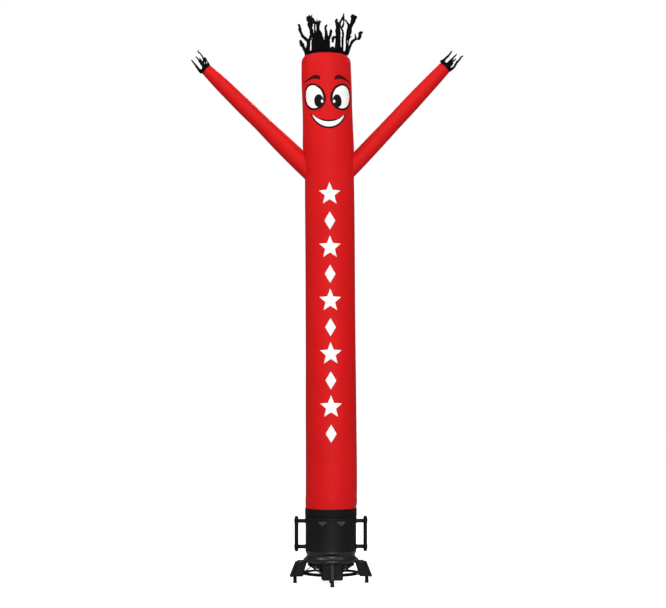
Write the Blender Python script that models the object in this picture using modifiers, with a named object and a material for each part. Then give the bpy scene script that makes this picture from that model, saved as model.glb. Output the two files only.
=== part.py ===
"""Inflatable air dancer standing on its blower.

Metres, +Z up, the ground at z = 0, the front facing -Y.  Every piece is
modelled about the upright axis of the blower, and hangs on one empty that
puts the middle of the arms' reach over the origin.
"""

import math
import random
from collections import namedtuple

import bmesh
import bpy
from mathutils import Euler, Matrix, Vector

# ---------------------------------------------------------------- sizes
AXIS_X = 0.035            # blower axis, from the middle of the arms' reach
BLOWER_TURN = 2.2         # degrees that the blower is turned under the dancer
GAP = 0.0003              # play between pieces that touch
MERGE = 0.00005           # merge distance of every modifier
ROUND_STEPS = 36          # facets round the body tube and the blower
CLOTH = 0.0016            # coated nylon with its seam tape
SEAM = 0.006              # cloth turned in round an armhole
SMALL_STEPS = 12          # facets round grips, feet and gland
ROUGH_STEPS = 16          # facets round the bosses and collars

Section = namedtuple("Section", "height centre radius")
BODY = (
    Section(0.6150, 0.0000, 0.2316),
    Section(0.6900, 0.0000, 0.2318),
    Section(0.7450, 0.0030, 0.2350),
    Section(1.0000, 0.0045, 0.2355),
    Section(1.7000, 0.0010, 0.2320),
    Section(2.6000, -0.0050, 0.2280),
    Section(3.4500, -0.0105, 0.2280),
    Section(3.7000, -0.0130, 0.2272),
    Section(3.8600, -0.0180, 0.2310),
    Section(4.0200, -0.0235, 0.2350),
    Section(4.1800, -0.0275, 0.2318),
    Section(4.3500, -0.0320, 0.2296),
    Section(4.5700, -0.0390, 0.2308),
    Section(4.7100, -0.0425, 0.2280),
    Section(4.7900, -0.0440, 0.2254),
)
BODY_LOW = BODY[0].height
BODY_TOP = BODY[-1].height
SHOULDER_LOW = 3.62       # denser rings of points between these heights
SHOULDER_TOP = 4.06
SHOULDER_RINGS = 8
LEAST_LEVEL = 0.030       # rings of points are no closer than this

Crease = namedtuple("Crease", "side height slope depth width reach")
CREASES = (
    Crease(-1, 3.800, -0.25, 0.0065, 0.024, 0.75),
    Crease(-1, 3.900, 0.20, 0.0050, 0.022, 0.60),
    Crease(1, 3.790, -0.20, 0.0065, 0.024, 0.75),
    Crease(1, 3.895, 0.25, 0.0045, 0.022, 0.60),
)
PUCKER_DEPTH = 0.0022     # gathers just above the neck strap
PUCKER_REACH = 0.110
PUCKERS = 12

HEAD_X = BODY[-1].centre
CROWN = (                 # (radius, height above the body's top edge)
    (0.1000, 0.0600),
    (0.1950, 0.0460),
    (0.2120, 0.0360),
    (0.2225, 0.0190),
    (0.2254, 0.0),
)

Arm = namedtuple("Arm", "name root reach tilt sections")
ARMS = (
    Arm("left", (-0.2594, 0.0, 3.8557), 1.2316, -45.7, (
        (-0.160, 0.0905), (0.000, 0.0897), (0.231, 0.0856), (0.389, 0.0812),
        (0.547, 0.0768), (0.705, 0.0745), (0.863, 0.0697), (1.021, 0.0662),
        (1.140, 0.0612), (1.2316, 0.0531))),
    Arm("right", (0.2125, 0.0, 3.8465), 1.2172, 43.1, (
        (-0.160, 0.0785), (0.000, 0.0780), (0.233, 0.0765), (0.385, 0.0762),
        (0.536, 0.0753), (0.687, 0.0731), (0.838, 0.0695), (1.000, 0.0668),
        (1.120, 0.0640), (1.2172, 0.0589))),
)
ARM_STEPS = 16
ARMHOLE_REACH = (-0.150, 0.125)   # cutter's stretch along the arm
CORE_BELOW = 0.120        # how far the arms' cutter reaches past the shoulder rings
CORE_ABOVE = 0.130
ARM_RIPPLE = 0.0016
RIPPLE_TURN = 9.0         # radians that the ripple turns in each metre of arm
RIPPLE_STOP = 0.050       # the arm's end stays round

HAIR_RADIUS = 0.1970
HAIR_STRIPS = 36
HAIR_WALL = 0.0020
STRIP_SHARE = 0.66        # how much of a fringe's backing is strip, the rest being cuts
HAIR_BACKING = 0.026      # height of the backing strip
HAIR_FLOOR = 4.8372       # its bottom edge, on the crown
HAIR_PARTS = 5            # lengths in each strip

Lock = namedtuple("Lock", "angle rise out side twist wide")
LOCKS = (                 # the strips that stand out, by their place round the crown
    Lock(-128, 0.350, 0.035, 0.020, 20, 1.60),
    Lock(-108, 0.300, 0.025, 0.015, 40, 1.20),
    Lock(-98, 0.255, 0.020, -0.012, 50, 1.10),
    Lock(-78, 0.240, 0.020, 0.012, 60, 1.20),
    Lock(-58, 0.320, 0.020, -0.020, 40, 1.20),
    Lock(-48, 0.355, 0.040, 0.000, 55, 1.00),
    Lock(-18, 0.210, 0.150, 0.010, 30, 1.40),
    Lock(32, 0.355, 0.070, 0.015, 25, 1.60),
    Lock(52, 0.300, 0.045, 0.000, 50, 1.10),
    Lock(92, 0.280, 0.030, 0.020, 50, 1.20),
    Lock(142, 0.240, 0.050, -0.020, 50, 1.20),
    Lock(162, 0.275, 0.080, -0.010, 40, 1.10),
    Lock(-168, 0.160, 0.080, 0.010, 50, 1.10),
)
LOCK_CATCH = 5.0          # degrees: the nearest strip takes a lock's shape
HAIR_RISE = (0.130, 0.270)
HAIR_OUT = (0.010, 0.055)
HAIR_SIDE = (-0.008, 0.008)
HAIR_TWIST = (-45, 45)
HAIR_WIDE = (0.90, 1.25)
HAIR_START = 0.25         # first strip's place, in spaces between strips
HAIR_SEED = 11
STRIP_DROOP = 0.10        # how a strip's rise slows towards its tip
STRIP_SWAY = 0.8          # part of a half wave that a strip sways through
STRIP_WIDEN = 1.6         # a strip has its full width this early
STRIP_TIP = 0.55          # width of the tip's end

FINGER_STRIPS = 8
FINGER_PARTS = 4
FINGER_CUFF = 0.030
FINGER_WALL = 0.0020
FINGER_LENGTH = (0.105, 0.165)
FINGER_OUT = (-0.0052, 0.026)
FINGER_SIDE = (-0.008, 0.008)
FINGER_TWIST = (-25, 25)
FINGER_WIDE = 0.75
FINGER_SEED = 4

STRAP_LOW = 0.6160
STRAP_HIGH = 0.6885
STRAP_INNER = 0.2323
STRAP_OUTER = 0.2380

NECK_PROFILE = (          # outlet ring: runs down its outer side, up its inner side
    (0.2260, 0.7030), (0.2290, 0.6960), (0.2290, 0.6128), (0.2352, 0.6128),
    (0.2352, 0.6063), (0.2232, 0.6063), (0.2232, 0.7030),
)
BARREL_RADIUS = 0.2330
BARREL_CORE = (0.250, 0.650)      # heights of the cutter that fits pieces to the barrel
ROOT = 0.012              # how far a fitted piece starts inside that cutter
BARREL_PROFILE = (
    (0.2362, 0.6060), (0.2362, 0.5950), (0.2330, 0.5910), (0.2330, 0.3060),
    (0.2342, 0.3000), (0.2282, 0.3000), (0.2282, 0.6060),
)
BASE_PROFILE = (
    (0.2342, 0.2997), (0.2318, 0.2850), (0.2210, 0.2660), (0.2210, 0.2580),
    (0.2300, 0.2410), (0.2530, 0.2240), (0.2530, 0.1980), (0.2475, 0.1980),
    (0.2475, 0.2185), (0.2250, 0.2365), (0.2155, 0.2560), (0.2155, 0.2680),
    (0.2262, 0.2870), (0.2282, 0.2997),
)
FLANGE_RADIUS = 0.2530
FLANGE_LOW = 0.1980

LUG_ANGLES = (-111, -69, 69, 111)
LUG_WIDTH = 0.096
LUG_DROP = 0.042
LUG_TOP = 0.5790
LUG_PROUD = 0.013         # at the bottom tip; the top edge is thinner
LUG_TOP_PROUD = 0.004

GRIP_REACH = 0.3165
GRIP_RADIUS = 0.0178
GRIP_PROFILE = (
    (0.0, 0.6160), (0.0100, 0.6160), (0.0152, 0.6085), (GRIP_RADIUS, 0.5970),
    (GRIP_RADIUS, 0.3090), (0.0152, 0.2975), (0.0100, 0.2900), (0.0, 0.2900),
)
BRACKET_HEIGHTS = (0.5710, 0.3350)
BRACKET_BAR = (0.028, 0.034)      # across, and high
BRACKET_PAD = (0.060, 0.038, 0.006)   # across, high, thick
BRACKET_COLLAR = 0.0205
COLLAR_LIP = 0.001        # the collar is this much higher than the bar, each way

LEG_ANGLES = (("front", -90), ("right", 0), ("back", 90), ("left", 180))
LEG_TOP = 0.2030
LEG_LOW = 0.0630
LEG_WALL = 0.005
LEG_HALF_WIDTH = (0.092, 0.098)   # at the top, and at the bottom
LEG_OUTER = (0.313, 0.367)
LEG_INNER = (0.222, 0.262)
LEG_CORNER = 0.022
LEG_CORNER_POINTS = 5
LEG_EDGE = 0.014
LEG_TRIM = 0.300          # half the trimming plate's depth, and its distance out
TRIM_ROOM = (0.002, 0.010)        # the plate stands past the leg, beside and above
RIB_HALF_WIDTH = 0.0135
RIB_OUTLINE = (           # (distance out, height) of the rib down each leg
    (0.3080, 0.2015), (0.3235, 0.2015), (0.3300, 0.1950), (0.3805, 0.0680),
    (0.3740, 0.0560), (0.3560, 0.0560), (0.3600, 0.0700),
)
WEB_HALF_WIDTH = 0.005
HOOK_FLOOR = 0.0815       # the cord lies on this ledge of each leg's web
WEB_OUTLINE = (
    (0.3630, 0.0680), (0.2110, 0.0720), (0.2110, 0.1010), (0.2180, 0.1010),
    (0.2190, HOOK_FLOOR), (0.2690, HOOK_FLOOR), (0.2690, 0.1500),
    (0.2450, 0.1800), (0.2200, 0.1840), (0.2200, 0.1976), (0.2560, 0.1976),
    (0.2560, 0.2005), (0.3115, 0.2005),
)
FOOT_REACH = 0.3300
BOSS_RADIUS = 0.0225
BOSS_TOP = 0.110
FOOT_PROFILE = (
    (0.0, LEG_LOW - GAP), (0.0165, LEG_LOW - GAP), (0.0165, 0.0200),
    (0.0180, 0.0120), (0.0180, 0.0030), (0.0160, 0.0), (0.0, 0.0),
)

GUARD_WALL = 0.005
GUARD_RIBS = 6
GUARD_STEPS = 3           # spaces between one rib and the next
GUARD_RIB_WIDTH = 0.010
Band = namedtuple("Band", "radius height solid")
GUARD = (                 # from the rim inwards; solid says if the band after it is a ring
    Band(0.2462, 0.2035, True),
    Band(0.2140, 0.2035, True),
    Band(0.2130, 0.1670, True),
    Band(0.2000, 0.1610, False),
    Band(0.1880, 0.1540, True),
    Band(0.1750, 0.1450, False),
    Band(0.1630, 0.1350, True),
    Band(0.1500, 0.1245, False),
    Band(0.1380, 0.1150, True),
    Band(0.1250, 0.1060, False),
    Band(0.1130, 0.0990, True),
    Band(0.1000, 0.0930, False),
    Band(0.0880, 0.0890, True),
    Band(0.0750, 0.0860, False),
    Band(0.0580, 0.0840, True),
    Band(0.0, 0.0830, True),
)

CORD_RADIUS = 0.00475
CORD_SIDES = 2            # bevel resolution of the cord's tubes
COIL_RADIUS = 0.2470
COIL_HALF_WIDTH = 0.0115
COIL_HALF_HEIGHT = 0.0143  # three turns of the cord, one on another
COIL_CORNER = 0.005
COIL_HEIGHT = HOOK_FLOOR + GAP + COIL_HALF_HEIGHT
GLAND_ANGLE = 118
GLAND_HEIGHT = 0.345
GLAND_PROFILE = (         # (radius, distance out from the barrel)
    (0.0, 0.0470), (0.0062, 0.0470), (0.0085, 0.0150), (0.0130, 0.0140),
    (0.0140, 0.0040), (0.0140, -0.0100), (0.0, -0.0100),
)
GLAND_REACH = BARREL_RADIUS + 0.0470
LEAD_ROUTE = (            # (distance out, height) of the cord from gland to coil
    (0.3000, 0.3430), (0.3230, 0.3300), (0.3340, 0.3050), (0.3330, 0.2700),
    (0.3220, 0.2300), (0.3060, 0.1900), (0.2870, 0.1560), (0.2690, 0.1310),
)
LEAD_DRIFT = 16           # degrees that the lead turns round the axis on its way
LEAD_END = (0.2500, 0.1150)
LEAD_POINTS = 14
TAIL_POINTS = 16
TAIL_ROUTE = (            # (across, back, height) of the cord from coil to plug
    (0.0978, 0.2088, 0.0864), (0.0730, 0.2045, 0.0800), (0.0490, 0.1945, 0.0670),
    (0.0270, 0.1780, 0.0490), (0.0120, 0.1600, 0.0300), (0.0020, 0.1380, 0.0145),
    (-0.0045, 0.1140, 0.0066), (-0.0080, 0.0880, 0.0052), (-0.0085, 0.0600, 0.0052),
    (-0.0060, 0.0230, 0.0052),
)
PLUG_LENGTH = 0.046
PLUG_HALF_WIDTH = 0.0140
PLUG_HALF_HEIGHT = 0.0115
PLUG_PIN = (0.0180, 0.0065, 0.0015)
PLUG_PIN_SPACE = 0.0127
PLUG_NECK = 0.6           # size of the plug's cord end against its pin end
PLUG_EDGE = 0.003
PIN_ROOT = 0.005          # how far the pins start inside the plug


# -------------------------------------------------------------- helpers
def clear_scene():
    for obj in list(bpy.data.objects):
        bpy.data.objects.remove(obj, do_unlink=True)


def new_collection(name):
    collection = bpy.data.collections.new(name)
    bpy.context.scene.collection.children.link(collection)
    return collection


clear_scene()
PARTS = new_collection("air_dancer")
CUTTERS = new_collection("cutters")
STAND = bpy.data.objects.new("dancer_stand", None)
STAND.location = (AXIS_X, 0.0, 0.0)
PARTS.objects.link(STAND)
BLOWER_STAND = bpy.data.objects.new("blower_stand", None)
BLOWER_STAND.rotation_euler.z = math.radians(BLOWER_TURN)
BLOWER_STAND.parent = STAND
PARTS.objects.link(BLOWER_STAND)


Finish = namedtuple("Finish", "colour roughness")
RED_CLOTH = Finish((0.62, 0.012, 0.018), 0.55)
BLACK_CLOTH = Finish((0.010, 0.010, 0.011), 0.60)
BLACK_PLASTIC = Finish((0.014, 0.014, 0.016), 0.45)
GREY_PLASTIC = Finish((0.10, 0.10, 0.11), 0.40)
BLACK_RUBBER = Finish((0.008, 0.008, 0.008), 0.70)


def finished(name, finish):
    """A plain Principled material."""
    material = bpy.data.materials.new(name)
    material.use_nodes = True
    shader = material.node_tree.nodes["Principled BSDF"]
    shader.inputs["Base Color"].default_value = (*finish.colour, 1.0)
    shader.inputs["Roughness"].default_value = finish.roughness
    return material


def place(name, mesh, material=None):
    """A part in the part collection, or, without a material, a hidden cutter."""
    obj = bpy.data.objects.new(name, mesh)
    obj.parent = STAND
    if material:
        if not mesh.materials:
            mesh.materials.append(material)
        PARTS.objects.link(obj)
    else:
        obj.hide_render = True
        obj.display_type = "WIRE"
        CUTTERS.objects.link(obj)
    return obj


def made_mesh(obj):
    """The mesh that an object's modifiers make of it."""
    bpy.context.view_layer.update()
    graph = bpy.context.evaluated_depsgraph_get()
    return bpy.data.meshes.new_from_object(obj.evaluated_get(graph))


def bake(obj):
    """Keep the made mesh in place of the modifiers."""
    mesh = made_mesh(obj)
    obj.modifiers.clear()
    obj.data = mesh
    return obj


def smooth(mesh, angle=math.radians(35)):
    mesh.shade_smooth()
    mesh.set_sharp_from_angle(angle=angle)


def turn(obj, steps):
    screw = obj.modifiers.new("Turn", "SCREW")
    screw.axis = "Z"
    screw.steps = steps
    screw.render_steps = steps
    screw.use_merge_vertices = True
    screw.merge_threshold = MERGE
    screw.use_smooth_shade = True


def turned(name, profile, material, steps=ROUND_STEPS, closed=True):
    """A shape turned about its own Z axis from (radius, height) points."""
    mesh = bpy.data.meshes.new(name)
    points = [(radius, 0.0, height) for radius, height in profile]
    edges = [(i, i + 1) for i in range(len(points) - 1)]
    if closed:
        edges.append((len(points) - 1, 0))
    mesh.from_pydata(points, edges, [])
    obj = place(name, mesh, material)
    turn(obj, steps)
    return obj


def thicken(obj, thickness):
    """Give an open surface its wall, inwards from the surface."""
    solidify = obj.modifiers.new("Wall", "SOLIDIFY")
    solidify.thickness = thickness
    solidify.offset = -1.0
    solidify.use_even_offset = True
    solidify.use_rim = True


def boolean(obj, operand, operation="DIFFERENCE"):
    cut = obj.modifiers.new(operand.name, "BOOLEAN")
    cut.operation = operation
    cut.solver = "EXACT"
    cut.object = operand


def box(name, low, high, material=None):
    mesh = bpy.data.meshes.new(name)
    bm = bmesh.new()
    bmesh.ops.create_cube(bm, size=1.0)
    for vert in bm.verts:
        for axis in range(3):
            vert.co[axis] = low[axis] if vert.co[axis] < 0 else high[axis]
    bm.to_mesh(mesh)
    bm.free()
    return place(name, mesh, material)


def rod(name, radius, low, high, material=None, steps=ROUND_STEPS):
    """An upright closed cylinder about its own Z axis."""
    mesh = bpy.data.meshes.new(name)
    bm = bmesh.new()
    lift = Matrix.Translation((0.0, 0.0, (low + high) / 2))
    bmesh.ops.create_cone(bm, cap_ends=True, segments=steps, radius1=radius,
                          radius2=radius, depth=high - low, matrix=lift)
    bm.to_mesh(mesh)
    bm.free()
    return place(name, mesh, material)


def plate(name, outline, half_width, material=None):
    """A flat plate in the X-Z plane, from (distance out, height) points."""
    curve = bpy.data.curves.new(name, "CURVE")
    curve.dimensions = "2D"
    curve.fill_mode = "BOTH"
    curve.extrude = half_width
    spline = curve.splines.new("POLY")
    spline.points.add(len(outline) - 1)
    for point, (out, height) in zip(spline.points, outline):
        point.co = (out, height, 0.0, 1.0)
    spline.use_cyclic_u = True
    flat = place(name + "_outline", curve)
    mesh = made_mesh(flat)
    bpy.data.objects.remove(flat, do_unlink=True)
    bm = bmesh.new()
    bm.from_mesh(mesh)
    bmesh.ops.remove_doubles(bm, verts=bm.verts, dist=MERGE)
    bmesh.ops.transform(bm, matrix=Matrix.Rotation(math.pi / 2, 4, "X"), verts=bm.verts)
    bmesh.ops.recalc_face_normals(bm, faces=bm.faces)
    bm.to_mesh(mesh)
    bm.free()
    return place(name, mesh, material)


def between(rows, key, columns):
    """Columns of a table read at a key, on one smooth curve through its rows."""
    last = len(rows) - 1
    i = 0
    while i < last - 1 and key > rows[i + 1][0]:
        i += 1
    four = [rows[min(max(i + k, 0), last)] for k in (-1, 0, 1, 2)]
    span = four[2][0] - four[1][0]
    t = (key - four[1][0]) / span
    values = []
    for column in columns:
        a, b, c, d = (row[column] for row in four)
        slope_b = (c - a) / max(four[2][0] - four[0][0], MERGE) * span
        slope_c = (d - b) / max(four[3][0] - four[1][0], MERGE) * span
        values.append(
            b * (2 * t ** 3 - 3 * t ** 2 + 1) + slope_b * (t ** 3 - 2 * t ** 2 + t)
            + c * (3 * t ** 2 - 2 * t ** 3) + slope_c * (t ** 3 - t ** 2)
        )
    return values


# ------------------------------------------------------------ body tube
def body_levels(low, high):
    """Heights of the rings of points in the body tube."""
    heights = {row.height for row in BODY}
    step = (SHOULDER_TOP - SHOULDER_LOW) / SHOULDER_RINGS
    heights |= {SHOULDER_LOW + step * k for k in range(SHOULDER_RINGS + 1)}
    kept = []
    for height in sorted(heights):
        if not kept or height - kept[-1] > LEAST_LEVEL:
            kept.append(height)
    return [height for height in kept if low <= height <= high]


def cloth_offset(angle, height):
    """How far the cloth lies in or out of its plain round, by creases and gathers."""
    offset = 0.0
    for crease in CREASES:
        from_side = abs(angle) if crease.side > 0 else math.pi - abs(angle)
        line = crease.height + crease.slope * from_side * BARREL_RADIUS
        across = (height - line) / crease.width
        along = from_side / crease.reach
        if along < 1.0:
            offset -= crease.depth * math.exp(-across * across) * math.sin(math.pi * along)
    above = (height - STRAP_HIGH) / PUCKER_REACH
    if 0.0 < above < 1.0:
        offset += PUCKER_DEPTH * math.cos(PUCKERS * angle) * math.sin(math.pi * above)
    return offset


def body_surface(name, low, high, proud=0.0, material=None):
    """The body's outer face between two heights, standing proud by a little."""
    levels = body_levels(low, high)
    rings = [(between(BODY, z, [2])[0] + proud, z) for z in reversed(levels)]
    obj = bake(turned(name, rings, material, closed=False))
    bm = bmesh.new()
    bm.from_mesh(obj.data)
    bmesh.ops.triangulate(bm, faces=bm.faces, quad_method="FIXED")
    for vert in bm.verts:
        angle = math.atan2(vert.co.y, vert.co.x)
        radius = math.hypot(vert.co.x, vert.co.y)
        scale = 1.0 + cloth_offset(angle, vert.co.z) / radius
        centre = between(BODY, vert.co.z, [1])[0]
        vert.co.x = vert.co.x * scale + centre
        vert.co.y *= scale
    bm.to_mesh(obj.data)
    bm.free()
    return obj


def cap_ends(obj):
    bm = bmesh.new()
    bm.from_mesh(obj.data)
    rim = [edge for edge in bm.edges if edge.is_boundary]
    bmesh.ops.holes_fill(bm, edges=rim, sides=0)
    bmesh.ops.recalc_face_normals(bm, faces=bm.faces)
    bm.to_mesh(obj.data)
    bm.free()


def aim(obj, arm):
    """Lay an object's own Z axis along an arm."""
    obj.location = arm.root
    obj.rotation_euler = Euler((0.0, math.radians(arm.tilt), 0.0))


def make_body():
    cloth = finished("body_cloth", RED_CLOTH)
    body = body_surface("body_tube", BODY_LOW, BODY_TOP, material=cloth)
    thicken(body, CLOTH)
    for arm in ARMS:
        root_radius = between(arm.sections, 0.0, [1])[0] - CLOTH - SEAM
        armhole = rod("armhole_" + arm.name, root_radius, *ARMHOLE_REACH, steps=ARM_STEPS)
        aim(armhole, arm)
        boolean(body, armhole)
    smooth(body.data)


def make_arms():
    core = body_surface("body_core", SHOULDER_LOW - CORE_BELOW, SHOULDER_TOP + CORE_ABOVE, proud=GAP)
    cap_ends(core)
    for arm in ARMS:
        lengths = sorted(arm.sections, reverse=True)
        outline = [(radius, along) for along, radius in lengths]
        sleeve = turned("arm_" + arm.name, outline, finished("arm_cloth_" + arm.name, RED_CLOTH),
                        steps=ARM_STEPS, closed=False)
        bake(sleeve)
        for vert in sleeve.data.vertices:
            if vert.co.z > arm.reach - RIPPLE_STOP:
                continue
            angle = math.atan2(vert.co.y, vert.co.x)
            swell = ARM_RIPPLE * math.sin(2 * angle + RIPPLE_TURN * vert.co.z)
            radius = math.hypot(vert.co.x, vert.co.y)
            vert.co.x *= 1.0 + swell / radius
            vert.co.y *= 1.0 + swell / radius
        aim(sleeve, arm)
        thicken(sleeve, CLOTH)
        boolean(sleeve, core)
        smooth(sleeve.data)


def make_crown():
    outline = [(radius, BODY_TOP + GAP + rise) for radius, rise in CROWN]
    crown = turned("crown_panel", outline, finished("crown_cloth", RED_CLOTH), closed=False)
    crown.location.x = HEAD_X
    thicken(crown, CLOTH)


# -------------------------------------------------------------- fringes
def nearest_lock(angle):
    """The lock, if any, whose place is this strip's."""
    for lock in LOCKS:
        away = (lock.angle - angle + 180.0) % 360.0 - 180.0
        if abs(away) < LOCK_CATCH:
            return lock
    return None


def hair_shapes():
    """One lock for each strip of the hair, in order round the crown."""
    chance = random.Random(HAIR_SEED)
    shapes = []
    for strip in range(HAIR_STRIPS):
        angle = 360.0 * (strip + HAIR_START) / HAIR_STRIPS
        plain = Lock(angle, chance.uniform(*HAIR_RISE), chance.uniform(*HAIR_OUT),
                     chance.uniform(*HAIR_SIDE), chance.uniform(*HAIR_TWIST),
                     chance.uniform(*HAIR_WIDE))
        shapes.append(nearest_lock(angle) or plain)
    return shapes


def finger_shapes(seed):
    chance = random.Random(seed)
    shapes = []
    for _ in range(FINGER_STRIPS):
        shapes.append(Lock(0.0, chance.uniform(*FINGER_LENGTH), chance.uniform(*FINGER_OUT),
                           chance.uniform(*FINGER_SIDE), chance.uniform(*FINGER_TWIST), FINGER_WIDE))
    return shapes


def grow(bm, face, lock, parts):
    """Draw one face of the backing up into a strip."""
    root = face.calc_center_median()
    outward = Vector((root.x, root.y, 0.0)).normalized()
    sideways = Vector((-outward.y, outward.x, 0.0))
    corners = [vert.co - root for vert in face.verts]
    shape = [(corner.dot(sideways), corner.dot(outward)) for corner in corners]
    for part in range(1, parts + 1):
        t = part / parts
        face = bmesh.ops.extrude_discrete_faces(bm, faces=[face])["faces"][0]
        rise = lock.rise * (t - STRIP_DROOP * t * t) / (1.0 - STRIP_DROOP)
        centre = root + Vector((0.0, 0.0, rise))
        centre += outward * lock.out * t * t
        centre += sideways * lock.side * math.sin(math.pi * STRIP_SWAY * t)
        twist = Matrix.Rotation(math.radians(lock.twist) * t, 3, "Z")
        width = 1.0 + (lock.wide - 1.0) * min(1.0, STRIP_WIDEN * t)
        if part == parts:
            width *= STRIP_TIP
        for vert, (along, across) in zip(face.verts, shape):
            vert.co = centre + twist @ (sideways * along * width + outward * across)


def fringe(name, radius, wall, backing, shapes, parts, material):
    """A narrow ring of backing whose top edge is drawn up into strips."""
    section = [(radius, backing), (radius, 0.0), (radius - wall, 0.0), (radius - wall, backing)]
    obj = bake(turned(name, section, material, steps=2 * len(shapes)))
    bm = bmesh.new()
    bm.from_mesh(obj.data)
    step = math.pi / len(shapes)
    for vert in bm.verts:
        angle = math.atan2(vert.co.y, vert.co.x)
        widen = (STRIP_SHARE - 0.5) * step * (1 if round(angle / step) % 2 else -1)
        vert.co.rotate(Matrix.Rotation(widen, 3, "Z"))
    top = [face for face in bm.faces if face.calc_center_median().z > backing - MERGE]
    top.sort(key=lambda face: math.atan2(*face.calc_center_median().yx) % (2 * math.pi))
    for face, lock in zip(top[::2], shapes):
        grow(bm, face, lock, parts)
    bm.to_mesh(obj.data)
    bm.free()
    return obj


def make_hair():
    hair = fringe("hair_fringe", HAIR_RADIUS, HAIR_WALL, HAIR_BACKING, hair_shapes(),
                  HAIR_PARTS, finished("hair_cloth", BLACK_CLOTH))
    hair.location = (HEAD_X, 0.0, HAIR_FLOOR)


def make_fingers():
    for index, arm in enumerate(ARMS):
        radius = arm.sections[-1][1]
        fingers = fringe("finger_fringe_" + arm.name, radius, FINGER_WALL, FINGER_CUFF,
                         finger_shapes(FINGER_SEED + index), FINGER_PARTS,
                         finished("finger_cloth_" + arm.name, BLACK_CLOTH))
        aim(fingers, arm)
        fingers.location += fingers.rotation_euler.to_matrix() @ Vector((0.0, 0.0, arm.reach + GAP))


# --------------------------------------------------------------- blower
def make_strap():
    strap = ((STRAP_OUTER, STRAP_HIGH), (STRAP_OUTER, STRAP_LOW),
             (STRAP_INNER, STRAP_LOW), (STRAP_INNER, STRAP_HIGH))
    turned("neck_strap", strap, finished("strap_webbing", BLACK_CLOTH))


def make_shells():
    turned("blower_neck", NECK_PROFILE, finished("neck_plastic", BLACK_PLASTIC))
    turned("blower_barrel", BARREL_PROFILE, finished("barrel_plastic", BLACK_PLASTIC))
    turned("blower_base", BASE_PROFILE, finished("base_plastic", BLACK_PLASTIC))


def make_lugs(barrel_core):
    material = finished("lug_plastic", GREY_PLASTIC)
    for number, angle in enumerate(LUG_ANGLES, start=1):
        mesh = bpy.data.meshes.new(f"tie_lug_{number}")
        bm = bmesh.new()
        bmesh.ops.create_cone(bm, cap_ends=True, segments=3, radius1=1.0, radius2=1.0, depth=1.0)
        tip = max(vert.co.y for vert in bm.verts)
        flat = min(vert.co.y for vert in bm.verts)
        half = max(vert.co.x for vert in bm.verts)
        for vert in bm.verts:
            down = (vert.co.y - flat) / (tip - flat)
            proud = LUG_TOP_PROUD + (LUG_PROUD - LUG_TOP_PROUD) * down
            out = BARREL_RADIUS + proud if vert.co.z > 0 else BARREL_RADIUS - 2 * ROOT
            vert.co = (out, vert.co.x / half * LUG_WIDTH / 2, LUG_TOP - LUG_DROP * down)
        bmesh.ops.recalc_face_normals(bm, faces=bm.faces)
        bm.to_mesh(mesh)
        bm.free()
        lug = place(f"tie_lug_{number}", mesh, material)
        lug.rotation_euler.z = math.radians(angle)
        boolean(lug, barrel_core)


def make_grips(barrel_core):
    material = finished("grip_plastic", BLACK_PLASTIC)
    for side, name in ((-1, "left"), (1, "right")):
        grip = turned("grip_" + name, GRIP_PROFILE, material, steps=SMALL_STEPS, closed=False)
        grip.location.x = side * GRIP_REACH
    seat = rod("grip_seat", GRIP_RADIUS + GAP, *BARREL_CORE, steps=SMALL_STEPS)
    seat.location.x = GRIP_REACH
    across, high = BRACKET_BAR
    for level, height in zip(("upper", "lower"), BRACKET_HEIGHTS):
        low, top = height - high / 2, height + high / 2
        bar = box("bracket_bar_" + level, (BARREL_RADIUS, -across / 2, low),
                  (GRIP_REACH, across / 2, top))
        collar = rod("bracket_collar_" + level, BRACKET_COLLAR, low - COLLAR_LIP, top + COLLAR_LIP,
                     steps=ROUGH_STEPS)
        collar.location.x = GRIP_REACH
        pad_across, pad_high, pad_thick = BRACKET_PAD
        pad = box("bracket_" + level, (BARREL_RADIUS - ROOT, -pad_across / 2, height - pad_high / 2),
                  (BARREL_RADIUS + pad_thick, pad_across / 2, height + pad_high / 2),
                  finished("bracket_plastic_" + level, BLACK_PLASTIC))
        boolean(pad, bar, "UNION")
        boolean(pad, collar, "UNION")
        boolean(pad, barrel_core)
        boolean(pad, seat)
        shared = bake(pad).data
        pad.name = f"bracket_right_{level}"
        twin = place(f"bracket_left_{level}", shared, shared.materials[0])
        twin.rotation_euler.z = math.pi


def make_leg_shell():
    """The moulded wall of one leg, open below and towards the axis."""
    mesh = bpy.data.meshes.new("leg_shell")
    bm = bmesh.new()
    bmesh.ops.create_cube(bm, size=2.0)
    for vert in bm.verts:
        low = vert.co.z < 0
        reach = LEG_OUTER if vert.co.x > 0 else LEG_INNER
        vert.co = (reach[low], vert.co.y * LEG_HALF_WIDTH[low], LEG_LOW if low else LEG_TOP)
    open_faces = [face for face in bm.faces
                  if face.calc_center_median().z < LEG_LOW + MERGE
                  or all(vert.co.x < LEG_OUTER[0] - MERGE for vert in face.verts)]
    bmesh.ops.delete(bm, geom=open_faces, context="FACES_ONLY")
    middle = (LEG_LOW + LEG_TOP) / 2
    edges = []
    for edge in bm.edges:
        ends = [vert.co for vert in edge.verts]
        upright = abs(ends[0].z - ends[1].z) > MERGE
        outer = min(end.x for end in ends) > LEG_OUTER[0] - MERGE
        if outer and (upright or min(end.z for end in ends) > middle):
            edges.append(edge)
    bmesh.ops.bevel(bm, geom=edges, offset=LEG_EDGE, segments=1, profile=0.5, affect="EDGES")
    bmesh.ops.recalc_face_normals(bm, faces=bm.faces)
    bm.to_mesh(mesh)
    bm.free()
    return mesh


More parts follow.
